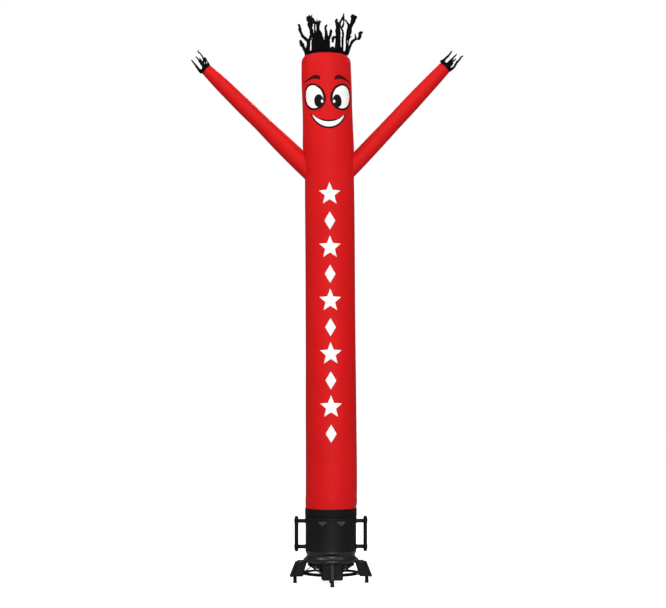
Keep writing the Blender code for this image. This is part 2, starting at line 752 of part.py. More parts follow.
def leg_front_outline():
    """A leg seen from outside: square above, with round lower corners."""
    half = LEG_HALF_WIDTH[1] + TRIM_ROOM[0]
    top = LEG_TOP + TRIM_ROOM[1]
    points = [(-half, top), (half, top)]
    for centre, start in ((half - LEG_CORNER, 0.0), (LEG_CORNER - half, -90.0)):
        for step in range(LEG_CORNER_POINTS):
            angle = math.radians(start - 90.0 * step / (LEG_CORNER_POINTS - 1))
            points.append((centre + LEG_CORNER * math.cos(angle),
                           LEG_LOW + LEG_CORNER + LEG_CORNER * math.sin(angle)))
    return points


def make_legs():
    material = finished("leg_plastic", BLACK_PLASTIC)
    leg = place("leg_front", make_leg_shell(), material)
    thicken(leg, LEG_WALL)
    trim = plate("leg_corners", leg_front_outline(), LEG_TRIM)
    trim.rotation_euler.z = math.pi / 2
    trim.location.x = LEG_TRIM
    boolean(leg, trim, "INTERSECT")
    flange = rod("flange_room", FLANGE_RADIUS + GAP, FLANGE_LOW - GAP, BARREL_CORE[0])
    boss = rod("leg_boss", BOSS_RADIUS, LEG_LOW, BOSS_TOP, steps=ROUGH_STEPS)
    boss.location.x = FOOT_REACH
    boolean(leg, plate("leg_rib", RIB_OUTLINE, RIB_HALF_WIDTH), "UNION")
    boolean(leg, plate("leg_web", WEB_OUTLINE, WEB_HALF_WIDTH), "UNION")
    boolean(leg, boss, "UNION")
    boolean(leg, flange)
    shared = bake(leg).data
    for name, angle in LEG_ANGLES:
        if name != "front":
            leg = place("leg_" + name, shared, material)
        leg.rotation_euler.z = math.radians(angle)


def make_feet():
    material = finished("foot_rubber", BLACK_RUBBER)
    for name, angle in LEG_ANGLES:
        foot = turned("foot_" + name, FOOT_PROFILE, material, steps=SMALL_STEPS, closed=False)
        heading = math.radians(angle)
        foot.location = (FOOT_REACH * math.cos(heading), FOOT_REACH * math.sin(heading), 0.0)


def make_guard():
    """Rings and ribs in one moulding: a polar grid with its spaces left out."""
    around = GUARD_RIBS * (1 + GUARD_STEPS)
    mesh = bpy.data.meshes.new("intake_guard")
    bm = bmesh.new()
    bmesh.ops.create_grid(bm, x_segments=around, y_segments=len(GUARD) - 1, size=0.5)
    sector = 2 * math.pi / GUARD_RIBS
    cells = {}
    for face in bm.faces:
        middle = face.calc_center_median()
        column = math.floor((middle.x + 0.5) * around)
        row = math.floor((middle.y + 0.5) * (len(GUARD) - 1))
        cells[face] = (column % (1 + GUARD_STEPS) == 0, GUARD[row].solid)
    for vert in bm.verts:
        column = round((vert.co.x + 0.5) * around)
        band = GUARD[round((vert.co.y + 0.5) * (len(GUARD) - 1))]
        rib, step = divmod(column, 1 + GUARD_STEPS)
        half = math.asin(GUARD_RIB_WIDTH / 2 / max(band.radius, GUARD_RIB_WIDTH))
        angle = rib * sector - half
        if step:
            angle = rib * sector + half + (step - 1) * (sector - 2 * half) / GUARD_STEPS
        vert.co = (band.radius * math.cos(angle), band.radius * math.sin(angle), band.height)
    spaces = [face for face, (is_rib, is_ring) in cells.items() if not is_rib and not is_ring]
    bmesh.ops.delete(bm, geom=spaces, context="FACES")
    bmesh.ops.remove_doubles(bm, verts=bm.verts, dist=MERGE)
    bmesh.ops.recalc_face_normals(bm, faces=bm.faces)
    bm.to_mesh(mesh)
    bm.free()
    guard = place("intake_guard", mesh, finished("guard_plastic", BLACK_PLASTIC))
    thicken(guard, GUARD_WALL)
    guard.rotation_euler.z = sector / 4


# ----------------------------------------------------------------- cord
def tube(name, route, points, material):
    """A round cord on one smooth curve through a route's points."""
    rows = [(index, *station) for index, station in enumerate(route)]
    curve = bpy.data.curves.new(name, "CURVE")
    curve.dimensions = "3D"
    curve.bevel_depth = CORD_RADIUS
    curve.bevel_resolution = CORD_SIDES
    curve.use_fill_caps = True
    spline = curve.splines.new("POLY")
    spline.points.add(points - 1)
    for index, point in enumerate(spline.points):
        key = index * (len(route) - 1) / (points - 1)
        point.co = (*between(rows, key, (1, 2, 3)), 1.0)
    return place(name, curve, material)


def lead_route():
    """From the gland's mouth, out and down past the flange to the coil."""
    stations = [(GLAND_REACH + GAP, GLAND_HEIGHT), *LEAD_ROUTE, LEAD_END]
    route = []
    for index, (out, height) in enumerate(stations):
        share = index / (len(stations) - 1)
        angle = math.radians(GLAND_ANGLE + LEAD_DRIFT * share ** 2)
        route.append((out * math.cos(angle), out * math.sin(angle), height))
    return route


def make_cord(barrel_core):
    rubber = finished("cord_rubber", BLACK_RUBBER)
    gland = turned("cord_gland", GLAND_PROFILE, rubber, steps=SMALL_STEPS, closed=False)
    angle = math.radians(GLAND_ANGLE)
    gland.location = (BARREL_RADIUS * math.cos(angle), BARREL_RADIUS * math.sin(angle), GLAND_HEIGHT)
    gland.rotation_euler = Euler((0.0, math.pi / 2, angle))
    boolean(gland, barrel_core)
    flat, upright = COIL_HALF_WIDTH - COIL_CORNER, COIL_HALF_HEIGHT - COIL_CORNER
    half = ((COIL_HALF_WIDTH, upright), (COIL_HALF_WIDTH, -upright),
            (flat, -COIL_HALF_HEIGHT), (-flat, -COIL_HALF_HEIGHT))
    section = [(COIL_RADIUS + side * x, COIL_HEIGHT + side * z) for side in (1, -1) for x, z in half]
    turned("cord_coil", section, rubber)
    tube("cord_lead", lead_route(), LEAD_POINTS, rubber)
    tube("cord_tail", TAIL_ROUTE, TAIL_POINTS, rubber)


def make_plug():
    """A moulded plug that lies flat on the ground at the cord's end."""
    end = Vector(TAIL_ROUTE[-1])
    heading = (end - Vector(TAIL_ROUTE[-2])).normalized()
    body = box("cord_plug", (GAP, -PLUG_HALF_WIDTH, -PLUG_HALF_HEIGHT),
               (PLUG_LENGTH, PLUG_HALF_WIDTH, PLUG_HALF_HEIGHT), finished("plug_rubber", BLACK_RUBBER))
    bm = bmesh.new()
    bm.from_mesh(body.data)
    for vert in bm.verts:
        if vert.co.x < PLUG_LENGTH / 2:
            vert.co.y *= PLUG_NECK
            vert.co.z *= PLUG_NECK
    bmesh.ops.bevel(bm, geom=bm.edges, offset=PLUG_EDGE, segments=1, affect="EDGES")
    bm.to_mesh(body.data)
    bm.free()
    length, tall, thick = PLUG_PIN
    for side in (-1, 1):
        middle = side * PLUG_PIN_SPACE / 2
        pin = box(f"plug_pin_{side}", (PLUG_LENGTH - PIN_ROOT, middle - thick / 2, -tall / 2),
                  (PLUG_LENGTH + length, middle + thick / 2, tall / 2))
        boolean(body, pin, "UNION")
    bake(body)
    body.location = (end.x, end.y, PLUG_HALF_HEIGHT)
    body.rotation_euler.z = math.atan2(heading.y, heading.x)


def main():
    make_body()
    make_arms()
    make_crown()
    make_hair()
    make_fingers()
    make_strap()
    cloth = {*PARTS.objects, *CUTTERS.objects}
    make_shells()
    barrel_core = rod("barrel_core", BARREL_RADIUS + GAP, *BARREL_CORE)
    make_lugs(barrel_core)
    make_grips(barrel_core)
    make_legs()
    make_feet()
    make_guard()
    make_cord(barrel_core)
    make_plug()
    for obj in {*PARTS.objects, *CUTTERS.objects} - cloth:
        obj.parent = BLOWER_STAND


main()
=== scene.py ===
"""Looks of the inflatable air dancer and the blower that holds it up.

Metres, +Z up, the front facing -Y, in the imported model's own frame.  The cloth
is sewn again as fine thin sheets on the solids' folds, the fringes as ragged
ribbons, the cord as one length of flex, and the mouldings get round edges.
"""

import math
import random
from collections import namedtuple

import bmesh
import bpy
from mathutils import Matrix, Vector, noise


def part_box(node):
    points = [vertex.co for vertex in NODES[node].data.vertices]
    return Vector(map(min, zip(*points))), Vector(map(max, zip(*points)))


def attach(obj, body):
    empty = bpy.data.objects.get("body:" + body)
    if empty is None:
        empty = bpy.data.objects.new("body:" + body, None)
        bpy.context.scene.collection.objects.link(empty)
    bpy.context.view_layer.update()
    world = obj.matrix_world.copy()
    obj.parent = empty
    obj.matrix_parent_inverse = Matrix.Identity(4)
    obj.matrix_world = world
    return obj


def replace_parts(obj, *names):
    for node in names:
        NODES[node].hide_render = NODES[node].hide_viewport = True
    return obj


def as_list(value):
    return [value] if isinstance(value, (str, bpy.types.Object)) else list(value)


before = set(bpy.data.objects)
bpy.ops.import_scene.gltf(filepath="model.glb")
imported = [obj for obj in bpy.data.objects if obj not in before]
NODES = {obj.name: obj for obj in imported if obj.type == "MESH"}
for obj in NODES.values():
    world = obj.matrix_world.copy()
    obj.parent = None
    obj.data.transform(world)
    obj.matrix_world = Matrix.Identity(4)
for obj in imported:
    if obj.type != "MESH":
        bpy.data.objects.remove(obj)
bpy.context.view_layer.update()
BLOWER_LOW, BLOWER_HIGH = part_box("blower_barrel")
AXIS_X = (BLOWER_LOW.x + BLOWER_HIGH.x) / 2     # the blower's upright axis
BLOWER_TURN = 2.2         # degrees that the blower is turned under the dancer

# ------------------------------------------------------- the cloth's sizes
CLOTH = 0.0012            # coated nylon, one layer with its coating
Section = namedtuple("Section", "height centre radius")
BODY = (
    Section(0.6150, 0.0000, 0.2316),
    Section(0.6900, 0.0000, 0.2318),
    Section(0.7450, 0.0030, 0.2350),
    Section(1.0000, 0.0045, 0.2355),
    Section(1.7000, 0.0010, 0.2320),
    Section(2.6000, -0.0050, 0.2280),
    Section(3.4500, -0.0105, 0.2280),
    Section(3.7000, -0.0130, 0.2272),
    Section(3.8600, -0.0180, 0.2310),
    Section(4.0200, -0.0235, 0.2350),
    Section(4.1800, -0.0275, 0.2318),
    Section(4.3500, -0.0320, 0.2296),
    Section(4.5700, -0.0390, 0.2308),
    Section(4.7100, -0.0425, 0.2280),
    Section(4.7900, -0.0440, 0.2254),
)
BODY_LOW = 0.6190         # the cloth's hem, under the strap
BODY_TOP = BODY[-1].height
BODY_COLUMNS = 108
BODY_ROW = 0.020          # height of one row of faces
BODY_MEAN = 0.2310        # radius that the prints and the weave are laid out on
BODY_GIRTH = 2 * math.pi * BODY_MEAN
Crease = namedtuple("Crease", "side height slope depth width reach")
CREASES = (
    Crease(-1, 3.800, -0.25, 0.0065, 0.024, 0.75),
    Crease(-1, 3.900, 0.20, 0.0050, 0.022, 0.60),
    Crease(1, 3.790, -0.20, 0.0065, 0.024, 0.75),
    Crease(1, 3.895, 0.25, 0.0045, 0.022, 0.60),
)
STRAP_TOP = 0.6885
GATHERS = 12              # broad gathers above the strap, as in the solid
GATHER_DEPTH = 0.0022
GATHER_REACH = 0.110
FINE_GATHERS = 37
FINE_GATHER_DEPTH = 0.0009
BACK_SEAM = math.pi / 2   # the body's one long seam runs up its back
SEAM_HALF = 0.007
SEAM_SLOPE = 0.002        # width of the step at a seam's edge
SEAM_PROUD = 0.0009
SEAM_PUCKER = 0.038       # from one pucker beside a seam to the next
SEAM_PUCKER_DEPTH = 0.0007
SEAM_PUCKER_REACH = 0.022
SEAM_LIMIT = 0.10         # no pucker is farther from the back seam
SEAM_COLUMNS = (0.0055, 0.0080, 0.0115)     # columns of faces set beside a seam
RIM_PUCKERS = 46          # small puckers where the top panel is sewn in
RIM_PUCKER_DEPTH = 0.0006
RIM_PUCKER_REACH = 0.05
WAVE_DEPTH = 0.0016       # slow unevenness of blown-up cloth

HEAD_X = AXIS_X + BODY[-1].centre
CROWN = (                 # (radius, height above the body's top edge)
    (0.2254, 0.0), (0.2210, 0.0165), (0.2095, 0.0325), (0.1945, 0.0440), (0.1000, 0.0600),
)
CROWN_LAP = 0.0100        # the panel's rim lies this far down over the body
CROWN_TUCK = 0.0005       # how deep the rim's edge lies in the body's cloth
CROWN_RISE = 0.0003       # how far the panel stands out from the body's top edge, and above it
CROWN_BASE = BODY_TOP + CROWN_RISE
CROWN_TURN = 0.001        # the panel turns over this far below the body's top edge
CROWN_ROWS = 22
CROWN_PUCKER_DEPTH = 0.0007
CROWN_SLACK = 0.0015
CROWN_REACH = 0.15        # length of its cloth from rim to vent, for the weave

Arm = namedtuple("Arm", "name root reach tilt sections")
ARMS = (
    Arm("left", (-0.2594, 0.0, 3.8557), 1.2316, -45.7, (
        (-0.160, 0.0905), (0.000, 0.0897), (0.231, 0.0856), (0.389, 0.0812),
        (0.547, 0.0768), (0.705, 0.0745), (0.863, 0.0697), (1.021, 0.0662),
        (1.140, 0.0612), (1.2316, 0.0531))),
    Arm("right", (0.2125, 0.0, 3.8465), 1.2172, 43.1, (
        (-0.160, 0.0785), (0.000, 0.0780), (0.233, 0.0765), (0.385, 0.0762),
        (0.536, 0.0753), (0.687, 0.0731), (0.838, 0.0695), (1.000, 0.0668),
        (1.120, 0.0640), (1.2172, 0.0589))),
)
ARM_COLUMNS = 48
ARM_ROWS = 72
ARM_RIPPLE = 0.0016
RIPPLE_TURN = 9.0
RIPPLE_STOP = 0.050
ARM_ROW_GROWTH = 1.15     # rows of faces lie closer at the sleeve's root
ROOT_FOLDS = 9            # small folds that run out from each armhole, along the sleeve
ROOT_FOLD_DEPTH = 0.0020
ROOT_FOLD_REACH = 0.130
HOLE_FOLDS = 7            # and on the body round the hole
HOLE_FOLD_SPREAD = 0.55   # in the hole's own radii
HOLE_FOLD_REACH = (0.9, 2.6)
HOLE_CUT = 0.80           # the body's cloth is cut away inside this share of the hole
ROOT_DEPTH = 0.002        # the sleeve starts this far under the body's cloth
ROOT_SEARCH = 0.30        # and nowhere farther along than this
ROOT_HALVINGS = 24        # times that the search for the place is halved
CUFF_PUCKERS = 19
CUFF_PUCKER_DEPTH = 0.0008
CUFF_PUCKER_REACH = 0.05

# ---------------------------------------------------------- the cord's sizes
CORD_RADIUS = 0.00475
GLAND_ANGLE = 118
GLAND_HEIGHT = 0.345
GLAND_REACH = 0.2330 + 0.0470
GAP = 0.0003              # the least room between two pieces
LEAD_ROUTE = (            # (distance out, height) of the cord from gland to coil
    (0.3000, 0.3430), (0.3230, 0.3300), (0.3340, 0.3050), (0.3330, 0.2700),
    (0.3220, 0.2300), (0.3060, 0.1900), (0.2870, 0.1560), (0.2690, 0.1310),
)
LEAD_DRIFT = 16           # degrees that the lead turns round the axis on its way
TAIL_ROUTE = (            # (across, back, height) of the cord from coil to plug
    (0.0730, 0.2045, 0.0800), (0.0490, 0.1945, 0.0670), (0.0270, 0.1780, 0.0490),
    (0.0120, 0.1600, 0.0300), (0.0020, 0.1380, 0.0145), (-0.0045, 0.1140, 0.0066),
    (-0.0080, 0.0880, 0.0052), (-0.0085, 0.0600, 0.0052), (-0.0060, 0.0230, 0.0052),
)
COIL_STEP = 10
COIL_LANDING = (          # (degrees, distance out, height) as the lead comes down to the coil
    (147, 0.2560, 0.1075), (160, 0.2545, 0.0985), (176, 0.2535, 0.0915), (195, 0.2527, 0.0866),
)
COIL_SHIFTS = ((440, 500), (800, 860), (1160, 1220))    # where the cord moves to its next turn
COIL_END = 1475
COIL_OUTER = 0.2527
COIL_INNER = 0.2335
COIL_SWELL = 0.0075       # how much farther out the inner turns lie in front
COIL_HEIGHT = 0.0866
COIL_PITCH = 0.0096
LEAST_BEND = 0.044        # the cord's tightest bend
BEND_ROUNDS = 80          # times that its tight places are eased
CORD_SPANS = 4            # points of the curve for each step of the route


# ------------------------------------------------------------ mesh helpers
def between(rows, key, columns):
    """Columns of a table read at a key, on one smooth curve through its rows."""
    last = len(rows) - 1
    i = 0
    while i < last - 1 and key > rows[i + 1][0]:
        i += 1
    four = [rows[min(max(i + k, 0), last)] for k in (-1, 0, 1, 2)]
    span = four[2][0] - four[1][0]
    t = (key - four[1][0]) / span
    values = []
    for column in columns:
        a, b, c, d = (row[column] for row in four)
        slope_b = (c - a) / (four[2][0] - four[0][0]) * span
        slope_c = (d - b) / (four[3][0] - four[1][0]) * span
        values.append(
            b * (2 * t ** 3 - 3 * t ** 2 + 1) + slope_b * (t ** 3 - 2 * t ** 2 + t)
            + c * (3 * t ** 2 - 2 * t ** 3) + slope_c * (t ** 3 - t ** 2)
        )
    return values


def ease(x):
    """From 0 to 1, flat at both ends."""
    x = min(1.0, max(0.0, x))
    return x * x * (3 - 2 * x)


def turned(out, angle, height, centre=(0.0, 0.0)):
    """A point at a distance and in a direction from an upright line."""
    return Vector((centre[0] + out * math.cos(angle), centre[1] + out * math.sin(angle), height))


def on_blower(out, degrees, height=0.0):
    """A place on the blower, by its distance from the axis and its direction."""
    return turned(out, math.radians(degrees + BLOWER_TURN), height, (AXIS_X, 0.0))


def linked(name, data):
    """A new object in the scene."""
    obj = bpy.data.objects.new(name, data)
    bpy.context.scene.collection.objects.link(obj)
    return obj


def mesh_of(name, bm):
    """What was built in a bmesh, as a mesh."""
    mesh = bpy.data.meshes.new(name)
    bm.to_mesh(mesh)
    bm.free()
    return mesh


def add_piece(name, mesh, material, angle=40):
    """A finished piece of the object, riding on its one body."""
    obj = linked(name, mesh)
    mesh.materials.clear()
    mesh.materials.append(material)
    mesh.shade_smooth()
    mesh.set_sharp_from_angle(angle=math.radians(angle))
    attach(obj, "root")
    return obj


def evaluated_mesh(obj):
    """What an object's modifiers make of it."""
    bpy.context.view_layer.update()
    graph = bpy.context.evaluated_depsgraph_get()
    return bpy.data.meshes.new_from_object(obj.evaluated_get(graph))


def plain(obj):
    """Keep what an object's modifiers make of it as its plain mesh."""
    mesh = evaluated_mesh(obj)
    mesh.name = obj.name
    obj.modifiers.clear()
    obj.data = mesh
    return obj


def walled(obj, thickness):
    """Thicken a surface inwards."""
    wall = obj.modifiers.new("Wall", "SOLIDIFY")
    wall.thickness = thickness
    wall.offset = -1.0
    wall.use_rim = True
    return plain(obj)


def sheet_mesh(name, rows, widths, heights, keep=None):
    """A round surface of rows of points, with a UV map in metres for its weave."""
    bm = bmesh.new()
    layer = bm.loops.layers.uv.new("cloth")
    grid = [[bm.verts.new(point) for point in row] for row in rows]
    count = len(rows[0])
    for i in range(len(rows) - 1):
        for j in range(count):
            if keep and not keep(i, j):
                continue
            k = (j + 1) % count
            face = bm.faces.new((grid[i][j], grid[i][k], grid[i + 1][k], grid[i + 1][j]))
            corners = ((widths[j], heights[i]), (widths[j + 1], heights[i]),
                       (widths[j + 1], heights[i + 1]), (widths[j], heights[i + 1]))
            for loop, corner in zip(face.loops, corners):
                loop[layer].uv = corner
    loose = [vert for vert in bm.verts if not vert.link_faces]
    bmesh.ops.delete(bm, geom=loose, context="VERTS")
    return mesh_of(name, bm)


def cloth_sheet(name, node, rows, widths, heights, keep=None):
    """A sheet of the red cloth, standing for the node."""
    mesh = sheet_mesh(name, rows, widths, heights, keep)
    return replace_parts(walled(add_piece(name, mesh, RED), CLOTH), node)


SAME_PLACE = 0.00002      # corners closer than this are one
SHARP_EDGE = math.radians(28)


def round_edges(bm, edge):
    """Round a moulding's sharp edges."""
    sharp = [e for e in bm.edges if e.calc_face_angle(0.0) > SHARP_EDGE]
    bmesh.ops.bevel(bm, geom=sharp, offset=edge, segments=2, profile=0.5, affect="EDGES",
                    clamp_overlap=True)


def lathe(name, profile, material, edge, steps=128, centre=(AXIS_X, 0.0)):
    """A moulded ring turned from a closed (radius, height) outline, its edges eased."""
    bm = bmesh.new()
    rings = []
    for step in range(steps):
        angle = 2 * math.pi * step / steps
        rings.append([bm.verts.new(turned(r, angle, z, centre)) for r, z in profile])
    for step in range(steps):
        ring, following = rings[step], rings[(step + 1) % steps]
        for k in range(len(profile)):
            m = (k + 1) % len(profile)
            bm.faces.new((ring[k], ring[m], following[m], following[k]))
    bmesh.ops.remove_doubles(bm, verts=bm.verts, dist=SAME_PLACE)
    bmesh.ops.recalc_face_normals(bm, faces=bm.faces)
    if edge:
        round_edges(bm, edge)
    return add_piece(name, mesh_of(name, bm), material)


def eased(node, material, edge):
    """A moulding's own solid with its edges rounded, standing for the node."""
    mesh = NODES[node].data.copy()
    mesh.transform(NODES[node].matrix_world)
    bm = bmesh.new()
    bm.from_mesh(mesh)
    bmesh.ops.remove_doubles(bm, verts=bm.verts, dist=SAME_PLACE)
    bmesh.ops.dissolve_limit(bm, angle_limit=math.radians(1.0), verts=bm.verts, edges=bm.edges)
    round_edges(bm, edge)
    bmesh.ops.triangulate(bm, faces=[f for f in bm.faces if len(f.verts) > 4])
    bm.to_mesh(mesh)
    bm.free()
    obj = add_piece(node + "_moulding", mesh, material, angle=32)
    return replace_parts(obj, node)


# ----------------------------------------------------------- node helpers
def wire(tree, kind, inputs=None, **settings):
    """A node with its settings, its inputs set or linked by name or number."""
    made = tree.nodes.new(kind)
    for key, value in settings.items():
        setattr(made, key, value)
    for key, value in (inputs or {}).items():
        if isinstance(value, bpy.types.NodeSocket):
            tree.links.new(value, made.inputs[key])
        else:
            made.inputs[key].default_value = value
    return made


def sums(tree, operation, *values):
    """One Math node's result."""
    return wire(tree, "ShaderNodeMath", dict(enumerate(values)), operation=operation).outputs[0]


def clouds(tree, place, scale, detail, rough=0.5):
    """Soft noise, most of it near 0.5."""
    return wire(tree, "ShaderNodeTexNoise", {"Vector": place, "Scale": scale, "Detail": detail,
                                             "Roughness": rough}).outputs[0]


def mixture(tree, share, first, second):
    """A colour between two others."""
    return wire(tree, "ShaderNodeMix", {"Factor": share, 6: first, 7: second},
                data_type="RGBA").outputs[2]


def empty_tree(name, kind, inputs, outputs):
    """A node tree with its named sockets, and its two end nodes."""
    tree = bpy.data.node_groups.new(name, kind)
    for title, socket_kind, value in inputs:
        socket = tree.interface.new_socket(title, in_out="INPUT", socket_type=socket_kind)
        if value is not None:
            socket.default_value = value
    for title, socket_kind in outputs:
        tree.interface.new_socket(title, in_out="OUTPUT", socket_type=socket_kind)
    return tree, tree.nodes.new("NodeGroupInput"), tree.nodes.new("NodeGroupOutput")


FLOAT = "NodeSocketFloat"
VECTOR = "NodeSocketVector"
COLOUR = "NodeSocketColor"
SHAPE = "NodeSocketGeometry"
PAINT = "NodeSocketMaterial"
DARK = (0.01, 0.01, 0.01, 1.0)


def make_weave():
    """Plain weave with the thicker threads of ripstop, from coordinates in metres."""
    tree, given, result = empty_tree(
        "weave", "ShaderNodeTree",
        [("Place", VECTOR, None), ("Thread", FLOAT, 0.0008), ("Ripstop", FLOAT, 0.006),
         ("Ripstop Height", FLOAT, 0.6)],
        [("Height", FLOAT), ("Grid", FLOAT)])
    place = wire(tree, "ShaderNodeSeparateXYZ", {0: given.outputs["Place"]})
    waves = []
    lines = []
    for axis in ("X", "Y"):
        turn = sums(tree, "DIVIDE", place.outputs[axis], given.outputs["Thread"])
        waves.append(sums(tree, "SINE", sums(tree, "MULTIPLY", turn, math.pi)))
        away = sums(tree, "PINGPONG", place.outputs[axis],
                    sums(tree, "MULTIPLY", given.outputs["Ripstop"], 0.5))
        near = sums(tree, "DIVIDE", away, given.outputs["Thread"])
        lines.append(sums(tree, "SUBTRACT", 1.0, sums(tree, "MINIMUM", near, 1.0)))
    cross = sums(tree, "MULTIPLY", *waves)
    grid = sums(tree, "MAXIMUM", *lines)
    raised = sums(tree, "MULTIPLY", grid, given.outputs["Ripstop Height"])
    height = sums(tree, "ADD", sums(tree, "MULTIPLY", cross, 0.25), raised)
    tree.links.new(height, result.inputs["Height"])
    tree.links.new(grid, result.inputs["Grid"])
    return tree


def make_grain():
    """The fine cast grain of a moulding, and how its gloss comes and goes."""
    tree, given, result = empty_tree(
        "grain", "ShaderNodeTree",
        [("Place", VECTOR, None), ("Size", FLOAT, 0.0012), ("Rough", FLOAT, 0.42),
         ("Change", FLOAT, 0.10)],
        [("Height", FLOAT), ("Roughness", FLOAT)])
    scale = sums(tree, "DIVIDE", 1.0, given.outputs["Size"])
    fine = clouds(tree, given.outputs["Place"], scale, 2.0)
    slow = clouds(tree, given.outputs["Place"], 14.0, 4.0, 0.6)
    change = sums(tree, "MULTIPLY", sums(tree, "SUBTRACT", slow, 0.5), given.outputs["Change"])
    rough = sums(tree, "ADD", given.outputs["Rough"], sums(tree, "MULTIPLY", change, 2.0))
    tree.links.new(fine, result.inputs["Height"])
    tree.links.new(rough, result.inputs["Roughness"])
    return tree


def make_wear():
    """Thin scuffs that lighten a dark moulding."""
    tree, given, result = empty_tree(
        "wear", "ShaderNodeTree",
        [("Place", VECTOR, None), ("Colour", COLOUR, DARK),
         ("Scuffed", COLOUR, (0.06, 0.06, 0.062, 1.0)), ("Amount", FLOAT, 0.4)],
        [("Colour", COLOUR), ("Mask", FLOAT)])
    long = wire(tree, "ShaderNodeMapping",
                {"Vector": given.outputs["Place"], "Scale": (34.0, 34.0, 5.0),
                 "Rotation": (0.3, 0.5, 0.2)})
    lines = clouds(tree, long.outputs[0], 5.0, 5.0, 0.7)
    patch = clouds(tree, given.outputs["Place"], 9.0, 3.0)
    both = sums(tree, "MULTIPLY", lines, patch)
    mask = wire(tree, "ShaderNodeMapRange",
                {"Value": both, "From Min": 0.30, "From Max": 0.44, "To Min": 0.0, "To Max": 1.0})
    share = sums(tree, "MULTIPLY", mask.outputs[0], given.outputs["Amount"])
    mixed = mixture(tree, share, given.outputs["Colour"], given.outputs["Scuffed"])
    tree.links.new(mixed, result.inputs["Colour"])
    tree.links.new(mask.outputs[0], result.inputs["Mask"])
    return tree


def make_dust():
    """Pale dust that thickens towards the ground."""
    tree, given, result = empty_tree(
        "dust", "ShaderNodeTree",
        [("Place", VECTOR, None), ("Colour", COLOUR, DARK),
         ("Dust", COLOUR, (0.16, 0.15, 0.14, 1.0)), ("Top", FLOAT, 0.30), ("Amount", FLOAT, 0.3)],
        [("Colour", COLOUR), ("Mask", FLOAT)])
    place = wire(tree, "ShaderNodeSeparateXYZ", {0: given.outputs["Place"]})
    low = wire(tree, "ShaderNodeMapRange",
               {"Value": place.outputs["Z"], "From Min": 0.0, "From Max": given.outputs["Top"],
                "To Min": 1.0, "To Max": 0.0})
    specks = clouds(tree, given.outputs["Place"], 55.0, 6.0, 0.7)
    mask = sums(tree, "MULTIPLY", sums(tree, "MULTIPLY", low.outputs[0], specks),
                given.outputs["Amount"])
    mixed = mixture(tree, mask, given.outputs["Colour"], given.outputs["Dust"])
    tree.links.new(mixed, result.inputs["Colour"])
    tree.links.new(mask, result.inputs["Mask"])
    return tree


WEAVE = make_weave()
GRAIN = make_grain()
WEAR = make_wear()
DUST = make_dust()


# -------------------------------------------------------------- materials
THREAD = 0.0008           # width of one thread of the nylon
RIPSTOP = 0.006           # from one thicker thread to the next


def empty_material(name):
    """A material, its tree and shader, and the place on the object that patterns read."""
    material = bpy.data.materials.new(name)
    material.use_nodes = True
    tree = material.node_tree
    where = tree.nodes.new("ShaderNodeTexCoord").outputs["Object"]
    return material, tree, tree.nodes["Principled BSDF"], where


def placed(tree, group, inputs):
    """An effect set into a material, with its own values."""
    return wire(tree, "ShaderNodeGroup", inputs, node_tree=group)


def shaded(colour, share):
    """A colour made darker or lighter."""
    return [c * share for c in colour]


def tint(tree, source, dark, light):
    """A colour between two, by soft noise."""
    ramp = wire(tree, "ShaderNodeMapRange", {"Value": source, "From Min": 0.35, "From Max": 0.65})
    return mixture(tree, ramp.outputs[0], (*dark, 1.0), (*light, 1.0))


def finish(tree, shader, colour, gloss, specular, height, strength, depth):
    """Join a shader to its surface's colour, gloss and relief."""
    tree.links.new(colour, shader.inputs["Base Color"])
    tree.links.new(gloss, shader.inputs["Roughness"])
    bump = wire(tree, "ShaderNodeBump", {"Height": height, "Strength": strength, "Distance": depth})
    tree.links.new(bump.outputs[0], shader.inputs["Normal"])
    shader.inputs["Specular IOR Level"].default_value = specular


def nylon(name, dark, light, rough=0.5, specular=0.35, thread=THREAD, ripstop=RIPSTOP, mapped=True):
    """Coated ripstop cloth: its weave, its slow changes of colour and of gloss."""
    material, tree, shader, where = empty_material(name)
    lay = wire(tree, "ShaderNodeUVMap", uv_map="cloth").outputs[0] if mapped else where
    weave = placed(tree, WEAVE, {"Place": lay, "Thread": thread, "Ripstop": ripstop})
    plain_weave = tint(tree, clouds(tree, where, 2.3, 3.0, 0.55), dark, light)
    grid = sums(tree, "MULTIPLY", weave.outputs["Grid"], 0.10)
    colour = mixture(tree, grid, plain_weave, (*shaded(dark, 0.55), 1.0))
    gloss = placed(tree, GRAIN, {"Place": where, "Size": 0.004, "Rough": rough, "Change": 0.06})
    finish(tree, shader, colour, gloss.outputs["Roughness"], specular, weave.outputs["Height"], 0.5,
           0.00025)
    return material


def ink(name, colour, rough=0.42, specular=0.3):
    """Screen ink on the cloth, which keeps a little of the weave."""
    material, tree, shader, where = empty_material(name)
    lay = wire(tree, "ShaderNodeUVMap", uv_map="cloth").outputs[0]
    weave = placed(tree, WEAVE, {"Place": lay, "Thread": THREAD, "Ripstop": RIPSTOP,
                                 "Ripstop Height": 0.5})
    shade = tint(tree, clouds(tree, where, 30.0, 4.0), shaded(colour, 0.94), colour)
    gloss = placed(tree, GRAIN, {"Place": where, "Size": 0.003, "Rough": rough, "Change": 0.08})
    finish(tree, shader, shade, gloss.outputs["Roughness"], specular, weave.outputs["Height"], 0.25,
           0.0002)
    return material


